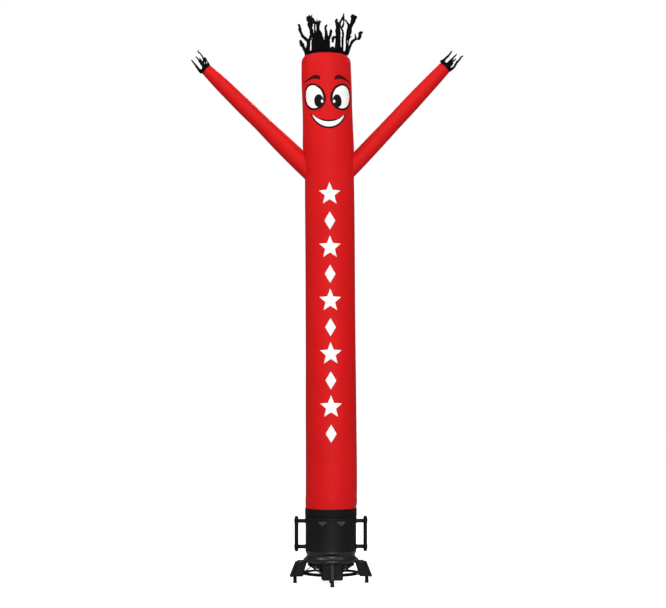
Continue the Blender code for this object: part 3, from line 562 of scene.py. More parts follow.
def webbing(name, colour):
    """Heavy black webbing: close ribs along the strap, crossed by its weft."""
    rib_pitch, weft_pitch = 0.0032, 0.0018
    material, tree, shader, where = empty_material(name)
    lay = wire(tree, "ShaderNodeUVMap", uv_map="cloth").outputs[0]
    place = wire(tree, "ShaderNodeSeparateXYZ", {0: lay})
    rib = sums(tree, "SINE", sums(tree, "MULTIPLY", place.outputs["Y"], 2 * math.pi / rib_pitch))
    weft = sums(tree, "SINE", sums(tree, "MULTIPLY", place.outputs["X"], 2 * math.pi / weft_pitch))
    height = sums(tree, "ADD", rib, sums(tree, "MULTIPLY", weft, 0.4))
    shade = tint(tree, clouds(tree, where, 40.0, 4.0), shaded(colour, 0.7), shaded(colour, 1.5))
    gloss = placed(tree, GRAIN, {"Place": where, "Size": 0.002, "Rough": 0.62, "Change": 0.08})
    finish(tree, shader, shade, gloss.outputs["Roughness"], 0.12, height, 0.5, 0.0004)
    return material


def moulded(name, colour, scuffed, rough, specular, dusty, dust_top=0.30, wear=0.35, rib_highlight=0.0):
    """Moulded plastic or rubber: grain, scuffs, dust near the ground, and a painted highlight on ribs.
    """
    material, tree, shader, where = empty_material(name)
    grain = placed(tree, GRAIN, {"Place": where, "Size": 0.0011, "Rough": rough, "Change": 0.10})
    base = tint(tree, clouds(tree, where, 6.0, 4.0), shaded(colour, 0.8), shaded(colour, 1.2))
    # faces marked as a rib get a paler colour: a painted highlight where the rib catches the light
    if rib_highlight:
        rib = wire(tree, "ShaderNodeAttribute", attribute_name="rib")
        base = mixture(tree, rib.outputs["Fac"], base, (rib_highlight, rib_highlight, rib_highlight, 1.0))
    worn = placed(tree, WEAR, {"Place": where, "Colour": base, "Scuffed": (*scuffed, 1.0),
                               "Amount": wear})
    dust = placed(tree, DUST, {"Place": where, "Colour": worn.outputs["Colour"],
                               "Top": dust_top, "Amount": dusty})
    dulled = sums(tree, "ADD", worn.outputs["Mask"], dust.outputs["Mask"])
    gloss = sums(tree, "ADD", grain.outputs["Roughness"], sums(tree, "MULTIPLY", dulled, 0.15))
    finish(tree, shader, dust.outputs["Colour"], gloss, specular, grain.outputs["Height"], 0.6,
           0.00012)
    return material


def steel(name):
    """Zinc-plated screws, a little dull."""
    material, tree, shader, where = empty_material(name)
    colour = tint(tree, clouds(tree, where, 260.0, 4.0), (0.10, 0.10, 0.105), (0.22, 0.22, 0.23))
    tree.links.new(colour, shader.inputs["Base Color"])
    grain = placed(tree, GRAIN, {"Place": where, "Size": 0.0008, "Rough": 0.38, "Change": 0.15})
    tree.links.new(grain.outputs["Roughness"], shader.inputs["Roughness"])
    shader.inputs["Metallic"].default_value = 0.9
    return material


def seen_or_lit(tree, seen, lit):
    """One strength for what is looked at straight, another for the light it gives."""
    looked_at = tree.nodes.new("ShaderNodeLightPath").outputs["Is Camera Ray"]
    strength = wire(tree, "ShaderNodeMapRange", {"Value": looked_at, "To Min": lit, "To Max": seen})
    return strength.outputs[0]


FLOOR_GLOW = 0.92


def floor_paint(name):
    """The plain pale ground that the object stands on."""
    material, tree, shader, where = empty_material(name)
    colour = tint(tree, clouds(tree, where, 1.2, 3.0), (0.46, 0.46, 0.46), (0.48, 0.48, 0.48))
    tree.links.new(colour, shader.inputs["Base Color"])
    shader.inputs["Roughness"].default_value = 0.9
    shader.inputs["Specular IOR Level"].default_value = 0.1
    shader.inputs["Emission Color"].default_value = (1.0, 1.0, 1.0, 1.0)
    tree.links.new(seen_or_lit(tree, FLOOR_GLOW, 0.0), shader.inputs["Emission Strength"])
    return material


RED = nylon("red_cloth", (0.600, 0.0062, 0.0073), (0.655, 0.0071, 0.0085), rough=0.58, specular=0.11)
BLACK = nylon("black_cloth", (0.0012, 0.0012, 0.0014), (0.0024, 0.0024, 0.0028), rough=0.60,
              mapped=False, specular=0.05)
STRAP = webbing("strap_webbing", (0.0036, 0.0036, 0.0042))
# a little paler than the red cloth: painted light that offsets the shade the stitch beads cast on
# themselves
THREAD_RED = nylon("red_thread", (0.65, 0.0070, 0.0083), (0.70, 0.0080, 0.0092), thread=0.0003,
                   ripstop=0.05, mapped=False, rough=0.6, specular=0.12)
THREAD_BLACK = nylon("black_thread", (0.012, 0.012, 0.013), (0.022, 0.022, 0.024), thread=0.0003,
                     ripstop=0.05, mapped=False)
INK_WHITE = ink("white_ink", (0.96, 0.96, 0.95))
INK_DARK = ink("dark_red_ink", (0.0320, 0.0024, 0.0032), rough=0.6, specular=0.1)
INK_BLACK = ink("black_ink", (0.0030, 0.0032, 0.0035), rough=0.45, specular=0.15)
HOUSING = moulded("housing_plastic", (0.0046, 0.0047, 0.0051), (0.014, 0.014, 0.015), rough=0.60,
                  dusty=0.02, dust_top=0.60, specular=0.16)
FLARE = moulded("flare_plastic", (0.0046, 0.0047, 0.0051), (0.014, 0.014, 0.015), rough=0.36, wear=0.0,
                dusty=0.0, specular=0.55)
# the lugs' pale grey stands in for the light their faces catch: a painted highlight
LUG = moulded("lug_plastic", (0.035, 0.036, 0.037), (0.06, 0.06, 0.06), rough=0.40, dusty=0.0,
              specular=0.3)
GRIP = moulded("grip_plastic", (0.0025, 0.0025, 0.0028), (0.010, 0.010, 0.011), rough=0.45,
               dusty=0.02, dust_top=0.6, specular=0.10)
# the legs' middle rib gets a painted highlight: its paler grey is set here
LEG = moulded("leg_plastic", (0.0058, 0.0059, 0.0064), (0.018, 0.018, 0.019), rough=0.60, dusty=0.04,
              dust_top=0.22, specular=0.10, rib_highlight=0.030)
GUARD = moulded("guard_plastic", (0.0030, 0.0030, 0.0034), (0.010, 0.010, 0.010), rough=0.5, dusty=0.05,
                specular=0.2)
RUBBER = moulded("foot_rubber", (0.0030, 0.0030, 0.0032), (0.012, 0.012, 0.012), rough=0.62, dusty=0.15,
                 dust_top=0.05, specular=0.15)
CORD = moulded("cord_rubber", (0.0026, 0.0026, 0.0030), (0.010, 0.010, 0.010), rough=0.5, dusty=0.06,
               dust_top=0.12, specular=0.15)
ZINC = steel("zinc_screws")


# ------------------------------------------------------- camera and light
CAMERA_PLACE = (AXIS_X + 0.0193, -14.0, 1.70)
CAMERA_LENS = 82.3
CAMERA_SHIFT = 0.141
ROOM_LIGHT = 0.180        # strength of the even light from all round
FLOOR_RADIUS = 60.0


def make_camera():
    """A level camera a little above the blower, its view shifted up the tube."""
    data = bpy.data.cameras.new("view")
    camera = linked("view", data)
    data.sensor_width = 36.0
    data.lens = CAMERA_LENS
    data.shift_y = CAMERA_SHIFT
    data.clip_end = 200.0
    camera.location = CAMERA_PLACE
    camera.rotation_euler = (math.pi / 2, 0.0, 0.0)
    bpy.context.scene.camera = camera


Lamp = namedtuple("Lamp", "name place aim size power")
LAMPS = (
    Lamp("key", (0.9, -9.5, 1.4), (0.0, 0.0, 0.8), 3.0, 340.0),
    Lamp("high", (1.9, -17.0, 13.0), (0.0, 0.0, 2.4), 5.0, 1600.0),
    Lamp("top", (0.0, -5.0, 10.0), (0.0, 0.0, 4.0), 2.5, 25.0),
    Lamp("side_left", (-5.0, -2.2, 9.0), (0.0, 0.0, 3.8), 3.0, 266.0),
    Lamp("side_right", (5.0, -2.2, 9.0), (0.0, 0.0, 3.8), 3.0, 113.0),
    Lamp("rear", (1.0, 6.5, 8.5), (0.0, 0.0, 2.6), 4.0, 486.0),
)


def make_lights():
    """Soft lamps that the camera doesn't see, in a white room."""
    for lamp in LAMPS:
        data = bpy.data.lights.new(lamp.name, "AREA")
        data.energy = lamp.power
        data.size = lamp.size
        light = linked(lamp.name, data)
        light.location = lamp.place
        heading = Vector(lamp.aim) - Vector(lamp.place)
        light.rotation_euler = heading.to_track_quat("-Z", "Y").to_euler()
        light.visible_camera = False
    world = bpy.data.worlds.new("studio")
    bpy.context.scene.world = world
    world.use_nodes = True
    tree = world.node_tree
    back = tree.nodes["Background"]
    back.inputs["Color"].default_value = (1.0, 1.0, 1.0, 1.0)
    tree.links.new(seen_or_lit(tree, 1.0, ROOM_LIGHT), back.inputs["Strength"])
    bpy.context.scene.view_settings.view_transform = "Standard"


def make_floor():
    """A round of pale ground, wide enough that its edge is never seen."""
    bm = bmesh.new()
    bmesh.ops.create_circle(bm, cap_ends=True, segments=96, radius=FLOOR_RADIUS)
    floor = linked("studio_floor", mesh_of("studio_floor", bm))
    floor.data.materials.append(floor_paint("studio_floor"))


# ------------------------------------------------------------------ cord
def lead_points():
    """From the gland's mouth, out and down past the flange towards the coil."""
    stations = [(GLAND_REACH + GAP, GLAND_HEIGHT), *LEAD_ROUTE]
    for index, (out, height) in enumerate(stations):
        share = index / len(stations)
        yield on_blower(out, GLAND_ANGLE + LEAD_DRIFT * share ** 2, height)


def coil_turn(turn, degrees):
    """(distance out, height) of a turn: side by side at the back, one on another in front."""
    front = (1.0 - math.sin(math.radians(degrees))) / 2
    if turn == 0:
        return COIL_OUTER, COIL_HEIGHT
    out, height = COIL_INNER + COIL_SWELL * front, COIL_HEIGHT
    lays = {1: (90 * front, 60 + 30 * front), 2: (90 * front,), 3: ()}[turn]
    for lay in lays:
        out += COIL_PITCH * math.cos(math.radians(lay))
        height += COIL_PITCH * math.sin(math.radians(lay))
    return out, height


def coil_points():
    """The cord's four turns on the legs' ledges, from the outer one to the lowest inner one."""
    for degrees, out, height in COIL_LANDING[:-1]:
        yield on_blower(out, degrees, height)
    for degrees in range(COIL_LANDING[-1][0], COIL_END + 1, COIL_STEP):
        turn = sum(degrees >= end for _, end in COIL_SHIFTS)
        out, height = coil_turn(turn, degrees)
        for start, end in COIL_SHIFTS:
            if start < degrees < end:
                share = ease((degrees - start) / (end - start))
                far_out, far_height = coil_turn(turn + 1, degrees)
                out += (far_out - out) * share
                height += (far_height - height) * share
        yield on_blower(out, degrees, height)


def tail_points():
    """From the coil in under the guard, and down to the plug on the ground."""
    for across, back, height in TAIL_ROUTE:
        yield on_blower(math.hypot(across, back), math.degrees(math.atan2(back, across)), height)


def relaxed(points):
    """A route with its tight bends eased, its ends kept."""
    for _ in range(BEND_ROUNDS):
        tight = set()
        for k in range(1, len(points) - 1):
            before, after = points[k] - points[k - 1], points[k + 1] - points[k]
            if (before.length + after.length) / 2 < LEAST_BEND * before.angle(after):
                tight |= {k - 1, k, k + 1}
        for k in tight - {0, len(points) - 1}:
            points[k] = points[k] / 2 + (points[k - 1] + points[k + 1]) / 4
    return points


def make_cord():
    """One length of flex: out of the gland, round the coil, down to its plug."""
    route = [*lead_points(), *coil_points(), *tail_points()]
    rows = [(index, *point) for index, point in enumerate(route)]
    count = (len(rows) - 1) * CORD_SPANS
    points = relaxed([Vector(between(rows, k / CORD_SPANS, (1, 2, 3))) for k in range(count + 1)])
    curve = bpy.data.curves.new("mains_cord", "CURVE")
    curve.dimensions = "3D"
    curve.bevel_depth = CORD_RADIUS
    curve.bevel_resolution = 4
    curve.use_fill_caps = True
    spline = curve.splines.new("POLY")
    spline.points.add(len(points) - 1)
    for place, point in zip(spline.points, points):
        place.co = (*point, 1.0)
    spline.use_smooth = True
    curve.materials.append(CORD)
    cord = linked("mains_cord", curve)
    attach(cord, "root")
    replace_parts(cord, "cord_lead", "cord_coil", "cord_tail")
    length = sum((b - a).length for a, b in zip(points, points[1:]))
    plug = eased("cord_plug", CORD, edge=0.0008)
    dress("cord_gland", CORD)
    tuple(points[0])


def dress(node, material):
    """Give a CAD node that keeps its shape its finish."""
    obj = NODES[node]
    for place in obj.material_slots:
        place.material = material
    if not obj.material_slots:
        obj.data.materials.append(material)


# ---------------------------------------------------------- cloth surfaces
def crease_offset(angle, height):
    """The body's folds below its shoulders, as its solid has them."""
    offset = 0.0
    for crease in CREASES:
        from_side = abs(angle) if crease.side > 0 else math.pi - abs(angle)
        line = crease.height + crease.slope * from_side * BODY_MEAN
        across = (height - line) / crease.width
        along = from_side / crease.reach
        if along < 1.0:
            offset -= crease.depth * math.exp(-across * across) * math.sin(math.pi * along)
    return offset


def seam_shape(away, along):
    """A felled seam's low ridge, with the cloth puckered on both sides of it."""
    ridge = SEAM_PROUD * (1.0 - ease((abs(away) - SEAM_HALF + SEAM_SLOPE / 2) / SEAM_SLOPE))
    pucker = math.sin(2 * math.pi * along / SEAM_PUCKER + 2.0 * math.sin(along * 5.1))
    return ridge + SEAM_PUCKER_DEPTH * pucker * math.exp(-abs(away) / SEAM_PUCKER_REACH)


def rim_pucker(angle, away):
    """Small puckers that die out with the distance from the top panel's seam."""
    return math.cos(RIM_PUCKERS * angle + 2.0 * math.sin(4 * angle)) * math.exp(-away)


def wrapped(angle):
    """An angle from minus half a turn to half a turn."""
    return (angle + math.pi) % (2 * math.pi) - math.pi


def lower_side(arm):
    """The body's angle that the arm is sewn at, and the sleeve's that faces down, with its seam."""
    return math.pi if arm.tilt < 0 else 0.0


def root_place(arm, angle, height):
    """A body point seen from an armhole: 1 on the hole's edge, and its direction."""
    radius = arm.sections[1][1]
    across = wrapped(angle - lower_side(arm)) * BODY_MEAN / radius
    up = (height - arm.root[2]) / (radius / math.sin(math.radians(abs(arm.tilt))))
    return math.hypot(across, up), math.atan2(up, across)


def body_offset(angle, height):
    """How far the cloth lies in or out of its plain round."""
    angle = wrapped(angle)
    offset = crease_offset(angle, height)
    above = (height - STRAP_TOP) / GATHER_REACH
    if 0.0 < above < 1.0:
        offset += GATHER_DEPTH * math.cos(GATHERS * angle) * math.sin(math.pi * above)
    if above > 0.0:
        fine = math.cos(FINE_GATHERS * angle + 2.0 * math.sin(3 * angle))
        offset += FINE_GATHER_DEPTH * fine * math.exp(-above * 2.2) * ease(above * 8)
    below = (BODY_TOP - height) / RIM_PUCKER_REACH
    offset += RIM_PUCKER_DEPTH * rim_pucker(angle, below) * ease(below * 4)
    for arm in ARMS:
        away, heading = root_place(arm, angle, height)
        if HOLE_FOLD_REACH[0] < away < HOLE_FOLD_REACH[1]:
            pull = math.cos(HOLE_FOLDS * heading + 1.3)
            pull *= math.exp(-((away - 1.0) / HOLE_FOLD_SPREAD) ** 2)
            offset += ROOT_FOLD_DEPTH * pull * ease((away - 0.95) * 4)
    seam_away = wrapped(angle - BACK_SEAM) * BODY_MEAN
    if abs(seam_away) < SEAM_LIMIT:
        offset += seam_shape(seam_away, height)
    offset += WAVE_DEPTH * noise.noise(turned(1.1, angle, height * 1.5)) * ease(above * 2)
    return offset


def body_point(angle, height, proud=0.0):
    """A point of the body's cloth, by its direction from the axis and its height."""
    centre, radius = between(BODY, height, (1, 2))
    out = radius + body_offset(angle, height) + proud
    return turned(out, angle, height, (AXIS_X + centre, 0.0))


def spread(count, around, extra):
    """Even columns of a round sheet, with closer ones beside its seam."""
    step = around / count
    places = [step * k for k in range(count)]
    for away in extra:
        places += [away, around - away]
    kept = []
    for place in sorted(places):
        if place in extra or around - place in extra or place == 0.0:
            kept.append(place)
        elif all(min(abs(place - away), abs(around - place - away)) > step * 0.3 for away in extra):
            kept.append(place)
    return sorted(set(kept))


def make_body():
    """The body tube's cloth, from its hem to the top panel, with its two armholes."""
    widths = spread(BODY_COLUMNS, BODY_GIRTH, SEAM_COLUMNS)
    angles = [BACK_SEAM + width / BODY_MEAN for width in widths]
    count = round((BODY_TOP - BODY_LOW) / BODY_ROW)
    heights = [BODY_LOW + (BODY_TOP - BODY_LOW) * k / count for k in range(count + 1)]
    rows = [[body_point(angle, height) for angle in angles] for height in heights]
    widths.append(BODY_GIRTH)

    def cloth_here(i, j):
        middle = (heights[i] + heights[i + 1]) / 2
        return all(root_place(arm, angles[j], middle)[0] > HOLE_CUT for arm in ARMS)

    return cloth_sheet("body_sheet", "body_tube", rows, widths, heights, keep=cloth_here)


def sleeve_frame(arm):
    """The sleeve's own frame: its root at the origin, and its length along +Z."""
    turn = Matrix.Rotation(math.radians(arm.tilt), 4, "Y")
    root = Vector((AXIS_X + arm.root[0], arm.root[1], arm.root[2]))
    return Matrix.Translation(root) @ turn


def sleeve_offset(arm, angle, along, from_root):
    """How far the sleeve's cloth lies in or out of its plain round."""
    offset = 0.0
    if along < arm.reach - RIPPLE_STOP:
        offset += ARM_RIPPLE * math.sin(2 * angle + RIPPLE_TURN * along)
    radius = arm.sections[1][1]
    offset += seam_shape(wrapped(angle - lower_side(arm)) * radius, along)
    folds = math.cos(ROOT_FOLDS * angle + 0.8 + 3.0 * along)
    folds *= math.exp(-from_root / ROOT_FOLD_REACH * 2.0)
    offset += ROOT_FOLD_DEPTH * folds * ease(from_root / 0.03)
    end = (arm.reach - along) / CUFF_PUCKER_REACH
    offset += CUFF_PUCKER_DEPTH * math.cos(CUFF_PUCKERS * angle) * math.exp(-end) * ease(end * 2)
    return offset + WAVE_DEPTH * noise.noise(turned(0.8, angle, along * 4.0 + arm.tilt))


def sleeve_radius(arm, along):
    """A sleeve's plain radius at a distance along it."""
    return between(arm.sections, along, (1,))[0]


def sleeve_point(arm, frame_here, angle, along, from_root, proud=0.0):
    """A point of the sleeve's cloth, by its angle and its distance along the sleeve."""
    out = sleeve_radius(arm, along) + sleeve_offset(arm, angle, along, from_root) + proud
    return frame_here @ turned(out, angle, along)


def root_along(arm, frame_here, angle):
    """How far along the sleeve its cloth comes out of the body."""
    near, far = arm.sections[0][0], ROOT_SEARCH
    for _ in range(ROOT_HALVINGS):
        middle = (near + far) / 2
        point = frame_here @ turned(sleeve_radius(arm, middle), angle, middle)
        centre, radius = between(BODY, point.z, (1, 2))
        away = Vector((point.x - AXIS_X - centre, point.y))
        inside = radius + body_offset(math.atan2(away.y, away.x), point.z) - ROOT_DEPTH
        if away.length < inside:
            near = middle
        else:
            far = middle
    return far


def make_sleeve(arm):
    """One sleeve, and where round the armhole it starts: distances along, and their angles."""
    frame_here = sleeve_frame(arm)
    mean = sleeve_radius(arm, arm.reach / 2)
    widths = spread(ARM_COLUMNS, 2 * math.pi * mean, SEAM_COLUMNS)
    angles = [lower_side(arm) + width / mean for width in widths]
    starts = [root_along(arm, frame_here, angle) for angle in angles]
    shares = [(k / ARM_ROWS) ** ARM_ROW_GROWTH for k in range(ARM_ROWS + 1)]
    rows = []
    for share in shares:
        row = []
        for angle, start in zip(angles, starts):
            along = start + (arm.reach - start) * share
            row.append(sleeve_point(arm, frame_here, angle, along, along - start))
        rows.append(row)
    heights = [arm.reach * share for share in shares]
    widths.append(2 * math.pi * mean)
    sleeve = cloth_sheet(f"sleeve_{arm.name}", f"arm_{arm.name}", rows, widths, heights)
    return sleeve, starts, angles


def crown_point(angle, share, proud=0.0):
    """A point of the top panel, from its rim at 0 to its vent at 1."""
    rows = [(index, radius, rise) for index, (radius, rise) in enumerate(CROWN)]
    radius, rise = between(rows, share * (len(rows) - 1), (1, 2))
    pucker = CROWN_PUCKER_DEPTH * rim_pucker(angle, share * 9) * ease(share * 12)
    around = Vector((radius * math.cos(angle) * 14, radius * math.sin(angle) * 14, 3.3))
    slack = CROWN_SLACK * noise.noise(around)
    height = CROWN_BASE + rise + pucker + slack * ease(share * 2) + proud
    return turned(radius + pucker * 1.5 + proud, angle, height, (HEAD_X, 0.0))


def make_crown():
    """The top panel, whose rim turns down over the body and ends inside its cloth."""
    angles = [BACK_SEAM + 2 * math.pi * k / BODY_COLUMNS for k in range(BODY_COLUMNS)]
    rows = [[body_point(angle, BODY_TOP - CROWN_LAP, -CROWN_TUCK) for angle in angles],
            [body_point(angle, BODY_TOP - CROWN_TURN, CROWN_RISE) for angle in angles]]
    for k in range(1, CROWN_ROWS + 1):
        rows.append([crown_point(angle, k / CROWN_ROWS) for angle in angles])
    widths = [BODY_GIRTH * k / BODY_COLUMNS for k in range(BODY_COLUMNS + 1)]
    heights = [CROWN_REACH * k / CROWN_ROWS for k in range(len(rows))]
    return cloth_sheet("crown_sheet", "crown_panel", rows, widths, heights)


# ----------------------------------------------------------------- prints
PRINT_CELL = 0.016        # a print's faces are no wider, so that it follows the cloth
FRONT = -math.pi / 2
FACE_TURN = 0.0085        # the face is sewn this far round from the front
EYE_HEIGHT = 4.431
EYE_SPACE = 0.1425
EYE_HALF = (0.0975, 0.1040)
EYE_LEAN = 0.13           # how much an eye's top leans outwards
EYE_RIM = (0.0250, 0.0195)
PUPIL_PLACE = (0.0870, 4.391)
PUPIL_HALF = (0.0445, 0.0580)
GLINT_PLACE = (0.0545, 4.384)
GLINT_RADIUS = 0.0112
BROW = (                  # (out from the face's middle, height, half its thickness)
    (0.066, 4.592, 0.0130), (0.080, 4.602, 0.0168), (0.100, 4.609, 0.0180), (0.126, 4.611, 0.0165),
    (0.158, 4.604, 0.0130), (0.190, 4.594, 0.0095), (0.226, 4.586, 0.0070), (0.262, 4.579, 0.0045),
)
MOUTH_HALF = 0.158
MOUTH_TOP = 4.273
MOUTH_DIPS = (0.0735, 0.1190)     # of the upper curve, and of the lower
MOUTH_FULL = 0.8          # under 1, the lower curve is fuller than the upper one
MOUTH_RIM = (0.022, 0.016, 0.014)   # past its corners, above and below it, and how far they rise
MARK_COUNT = 10
MARK_LOW = 1.375
MARK_HIGH = 3.545
STAR_OUTER = 0.108
STAR_INNER = 0.047
DIAMOND = (0.050, 0.082)
PRINT_WALL = 0.0003
FIRST_INK = 0.0005        # how far each layer of print stands off the cloth
SECOND_INK = 0.0009
THIRD_INK = 0.0013
TOP_INK = 0.0017


def ellipse(centre, half, points=56):
    """An ellipse's outline, from its middle and its half width and height."""
    return [(centre[0] + half[0] * math.cos(2 * math.pi * k / points),
             centre[1] + half[1] * math.sin(2 * math.pi * k / points)) for k in range(points)]


def star(centre, outer, inner):
    """A plain star with five tips, one of them upwards."""
    points = []
    for k in range(10):
        radius = inner if k % 2 else outer
        angle = math.pi / 2 + math.pi * k / 5
        points.append((centre[0] + radius * math.cos(angle), centre[1] + radius * math.sin(angle)))
    return points


def smile(wider=0.0, rim=0.0, rise=0.0):
    """A crescent between two curves that meet at its corners."""
    points = 30
    half = MOUTH_HALF + wider
    upper, lower = MOUTH_DIPS[0] - rim + rise, MOUTH_DIPS[1] + rim + rise
    top = MOUTH_TOP + rise
    across = [half * (2 * k / points - 1) for k in range(points + 1)]
    low_side = [(FACE_TURN + x, top - lower * (1 - (x / half) ** 2) ** MOUTH_FULL) for x in across]
    high_side = [(FACE_TURN + x, top - upper * (1 - (x / half) ** 2)) for x in reversed(across[1:-1])]
    return low_side + high_side


def brow(side):
    """A stroke that is thick towards the middle and thin outside."""
    points = 28
    upper, lower = [], []
    for k in range(points + 1):
        out = BROW[0][0] + (BROW[-1][0] - BROW[0][0]) * k / points
        height, half = between(BROW, out, (1, 2))
        upper.append((FACE_TURN + side * out, height + half))
        lower.append((FACE_TURN + side * out, height - half))
    outline = lower + upper[::-1]
    return outline if side > 0 else outline[::-1]


def print_mesh(name, outlines, proud):
    """Flat outlines filled, cut into small cells, and laid on the body's cloth."""
    bm = bmesh.new()
    for outline in outlines:
        verts = [bm.verts.new((u, v, 0.0)) for u, v in outline]
        edges = [bm.edges.new((verts[k], verts[(k + 1) % len(verts)])) for k in range(len(verts))]
        bmesh.ops.triangle_fill(bm, edges=edges, use_beauty=True, normal=(0.0, 0.0, 1.0))
    for axis in (0, 1):
        low = min(vert.co[axis] for vert in bm.verts)
        high = max(vert.co[axis] for vert in bm.verts)
        normal = Vector((1.0, 0.0, 0.0)) if axis == 0 else Vector((0.0, 1.0, 0.0))
        for k in range(1, int((high - low) / PRINT_CELL) + 1):
            everything = [*bm.verts, *bm.edges, *bm.faces]
            bmesh.ops.bisect_plane(bm, geom=everything, dist=1e-6, plane_no=normal,
                                   plane_co=normal * (low + k * PRINT_CELL))
    for face in bm.faces:
        face.normal_update()
        if face.normal.z < 0:
            face.normal_flip()
    layer = bm.loops.layers.uv.new("cloth")
    for face in bm.faces:
        for loop in face.loops:
            loop[layer].uv = (loop.vert.co.x, loop.vert.co.y)
    for vert in bm.verts:
        vert.co = body_point(FRONT + vert.co.x / BODY_MEAN, vert.co.y, proud)
    return mesh_of(name, bm)


def printed(name, outlines, proud, material):
    """One layer of ink as a thin piece."""
    mesh = print_mesh(name, outlines, proud)
    return walled(add_piece(name, mesh, material), PRINT_WALL)


def make_face():
    """A plain smiling face of simple curves."""
    eyes, rims, pupils, glints = [], [], [], []
    for side in (-1, 1):
        eye = (FACE_TURN + side * EYE_SPACE, EYE_HEIGHT)
        for outlines, rim in ((eyes, (0.0, 0.0)), (rims, EYE_RIM)):
            round_eye = ellipse(eye, (EYE_HALF[0] + rim[0], EYE_HALF[1] + rim[1]))
            outlines.append([(u + side * EYE_LEAN * (v - EYE_HEIGHT), v) for u, v in round_eye])
        pupils.append(ellipse((FACE_TURN + side * PUPIL_PLACE[0], PUPIL_PLACE[1]), PUPIL_HALF, 40))
        glints.append(ellipse((FACE_TURN + side * GLINT_PLACE[0], GLINT_PLACE[1]),
                              (GLINT_RADIUS, GLINT_RADIUS * 1.3), 24))
    outlines = [*rims, smile(*MOUTH_RIM), brow(-1), brow(1)]
    return [
        printed("face_outlines", outlines, FIRST_INK, INK_DARK),
        printed("face_whites", [*eyes, smile()], SECOND_INK, INK_WHITE),
        printed("face_pupils", pupils, THIRD_INK, INK_BLACK),
        printed("face_glints", glints, TOP_INK, INK_WHITE),
    ]


def make_marks():
    """A column of plain stars and diamonds down the front."""
    outlines = []
    for k in range(MARK_COUNT):
        height = MARK_HIGH + (MARK_LOW - MARK_HIGH) * k / (MARK_COUNT - 1)
        if k % 2:
            across, up = DIAMOND
            outlines.append([(across, height), (0.0, height + up),
                             (-across, height), (0.0, height - up)])
        else:
            outlines.append(star((0.0, height), STAR_OUTER, STAR_INNER))
    return printed("front_stars", outlines, FIRST_INK, INK_WHITE)


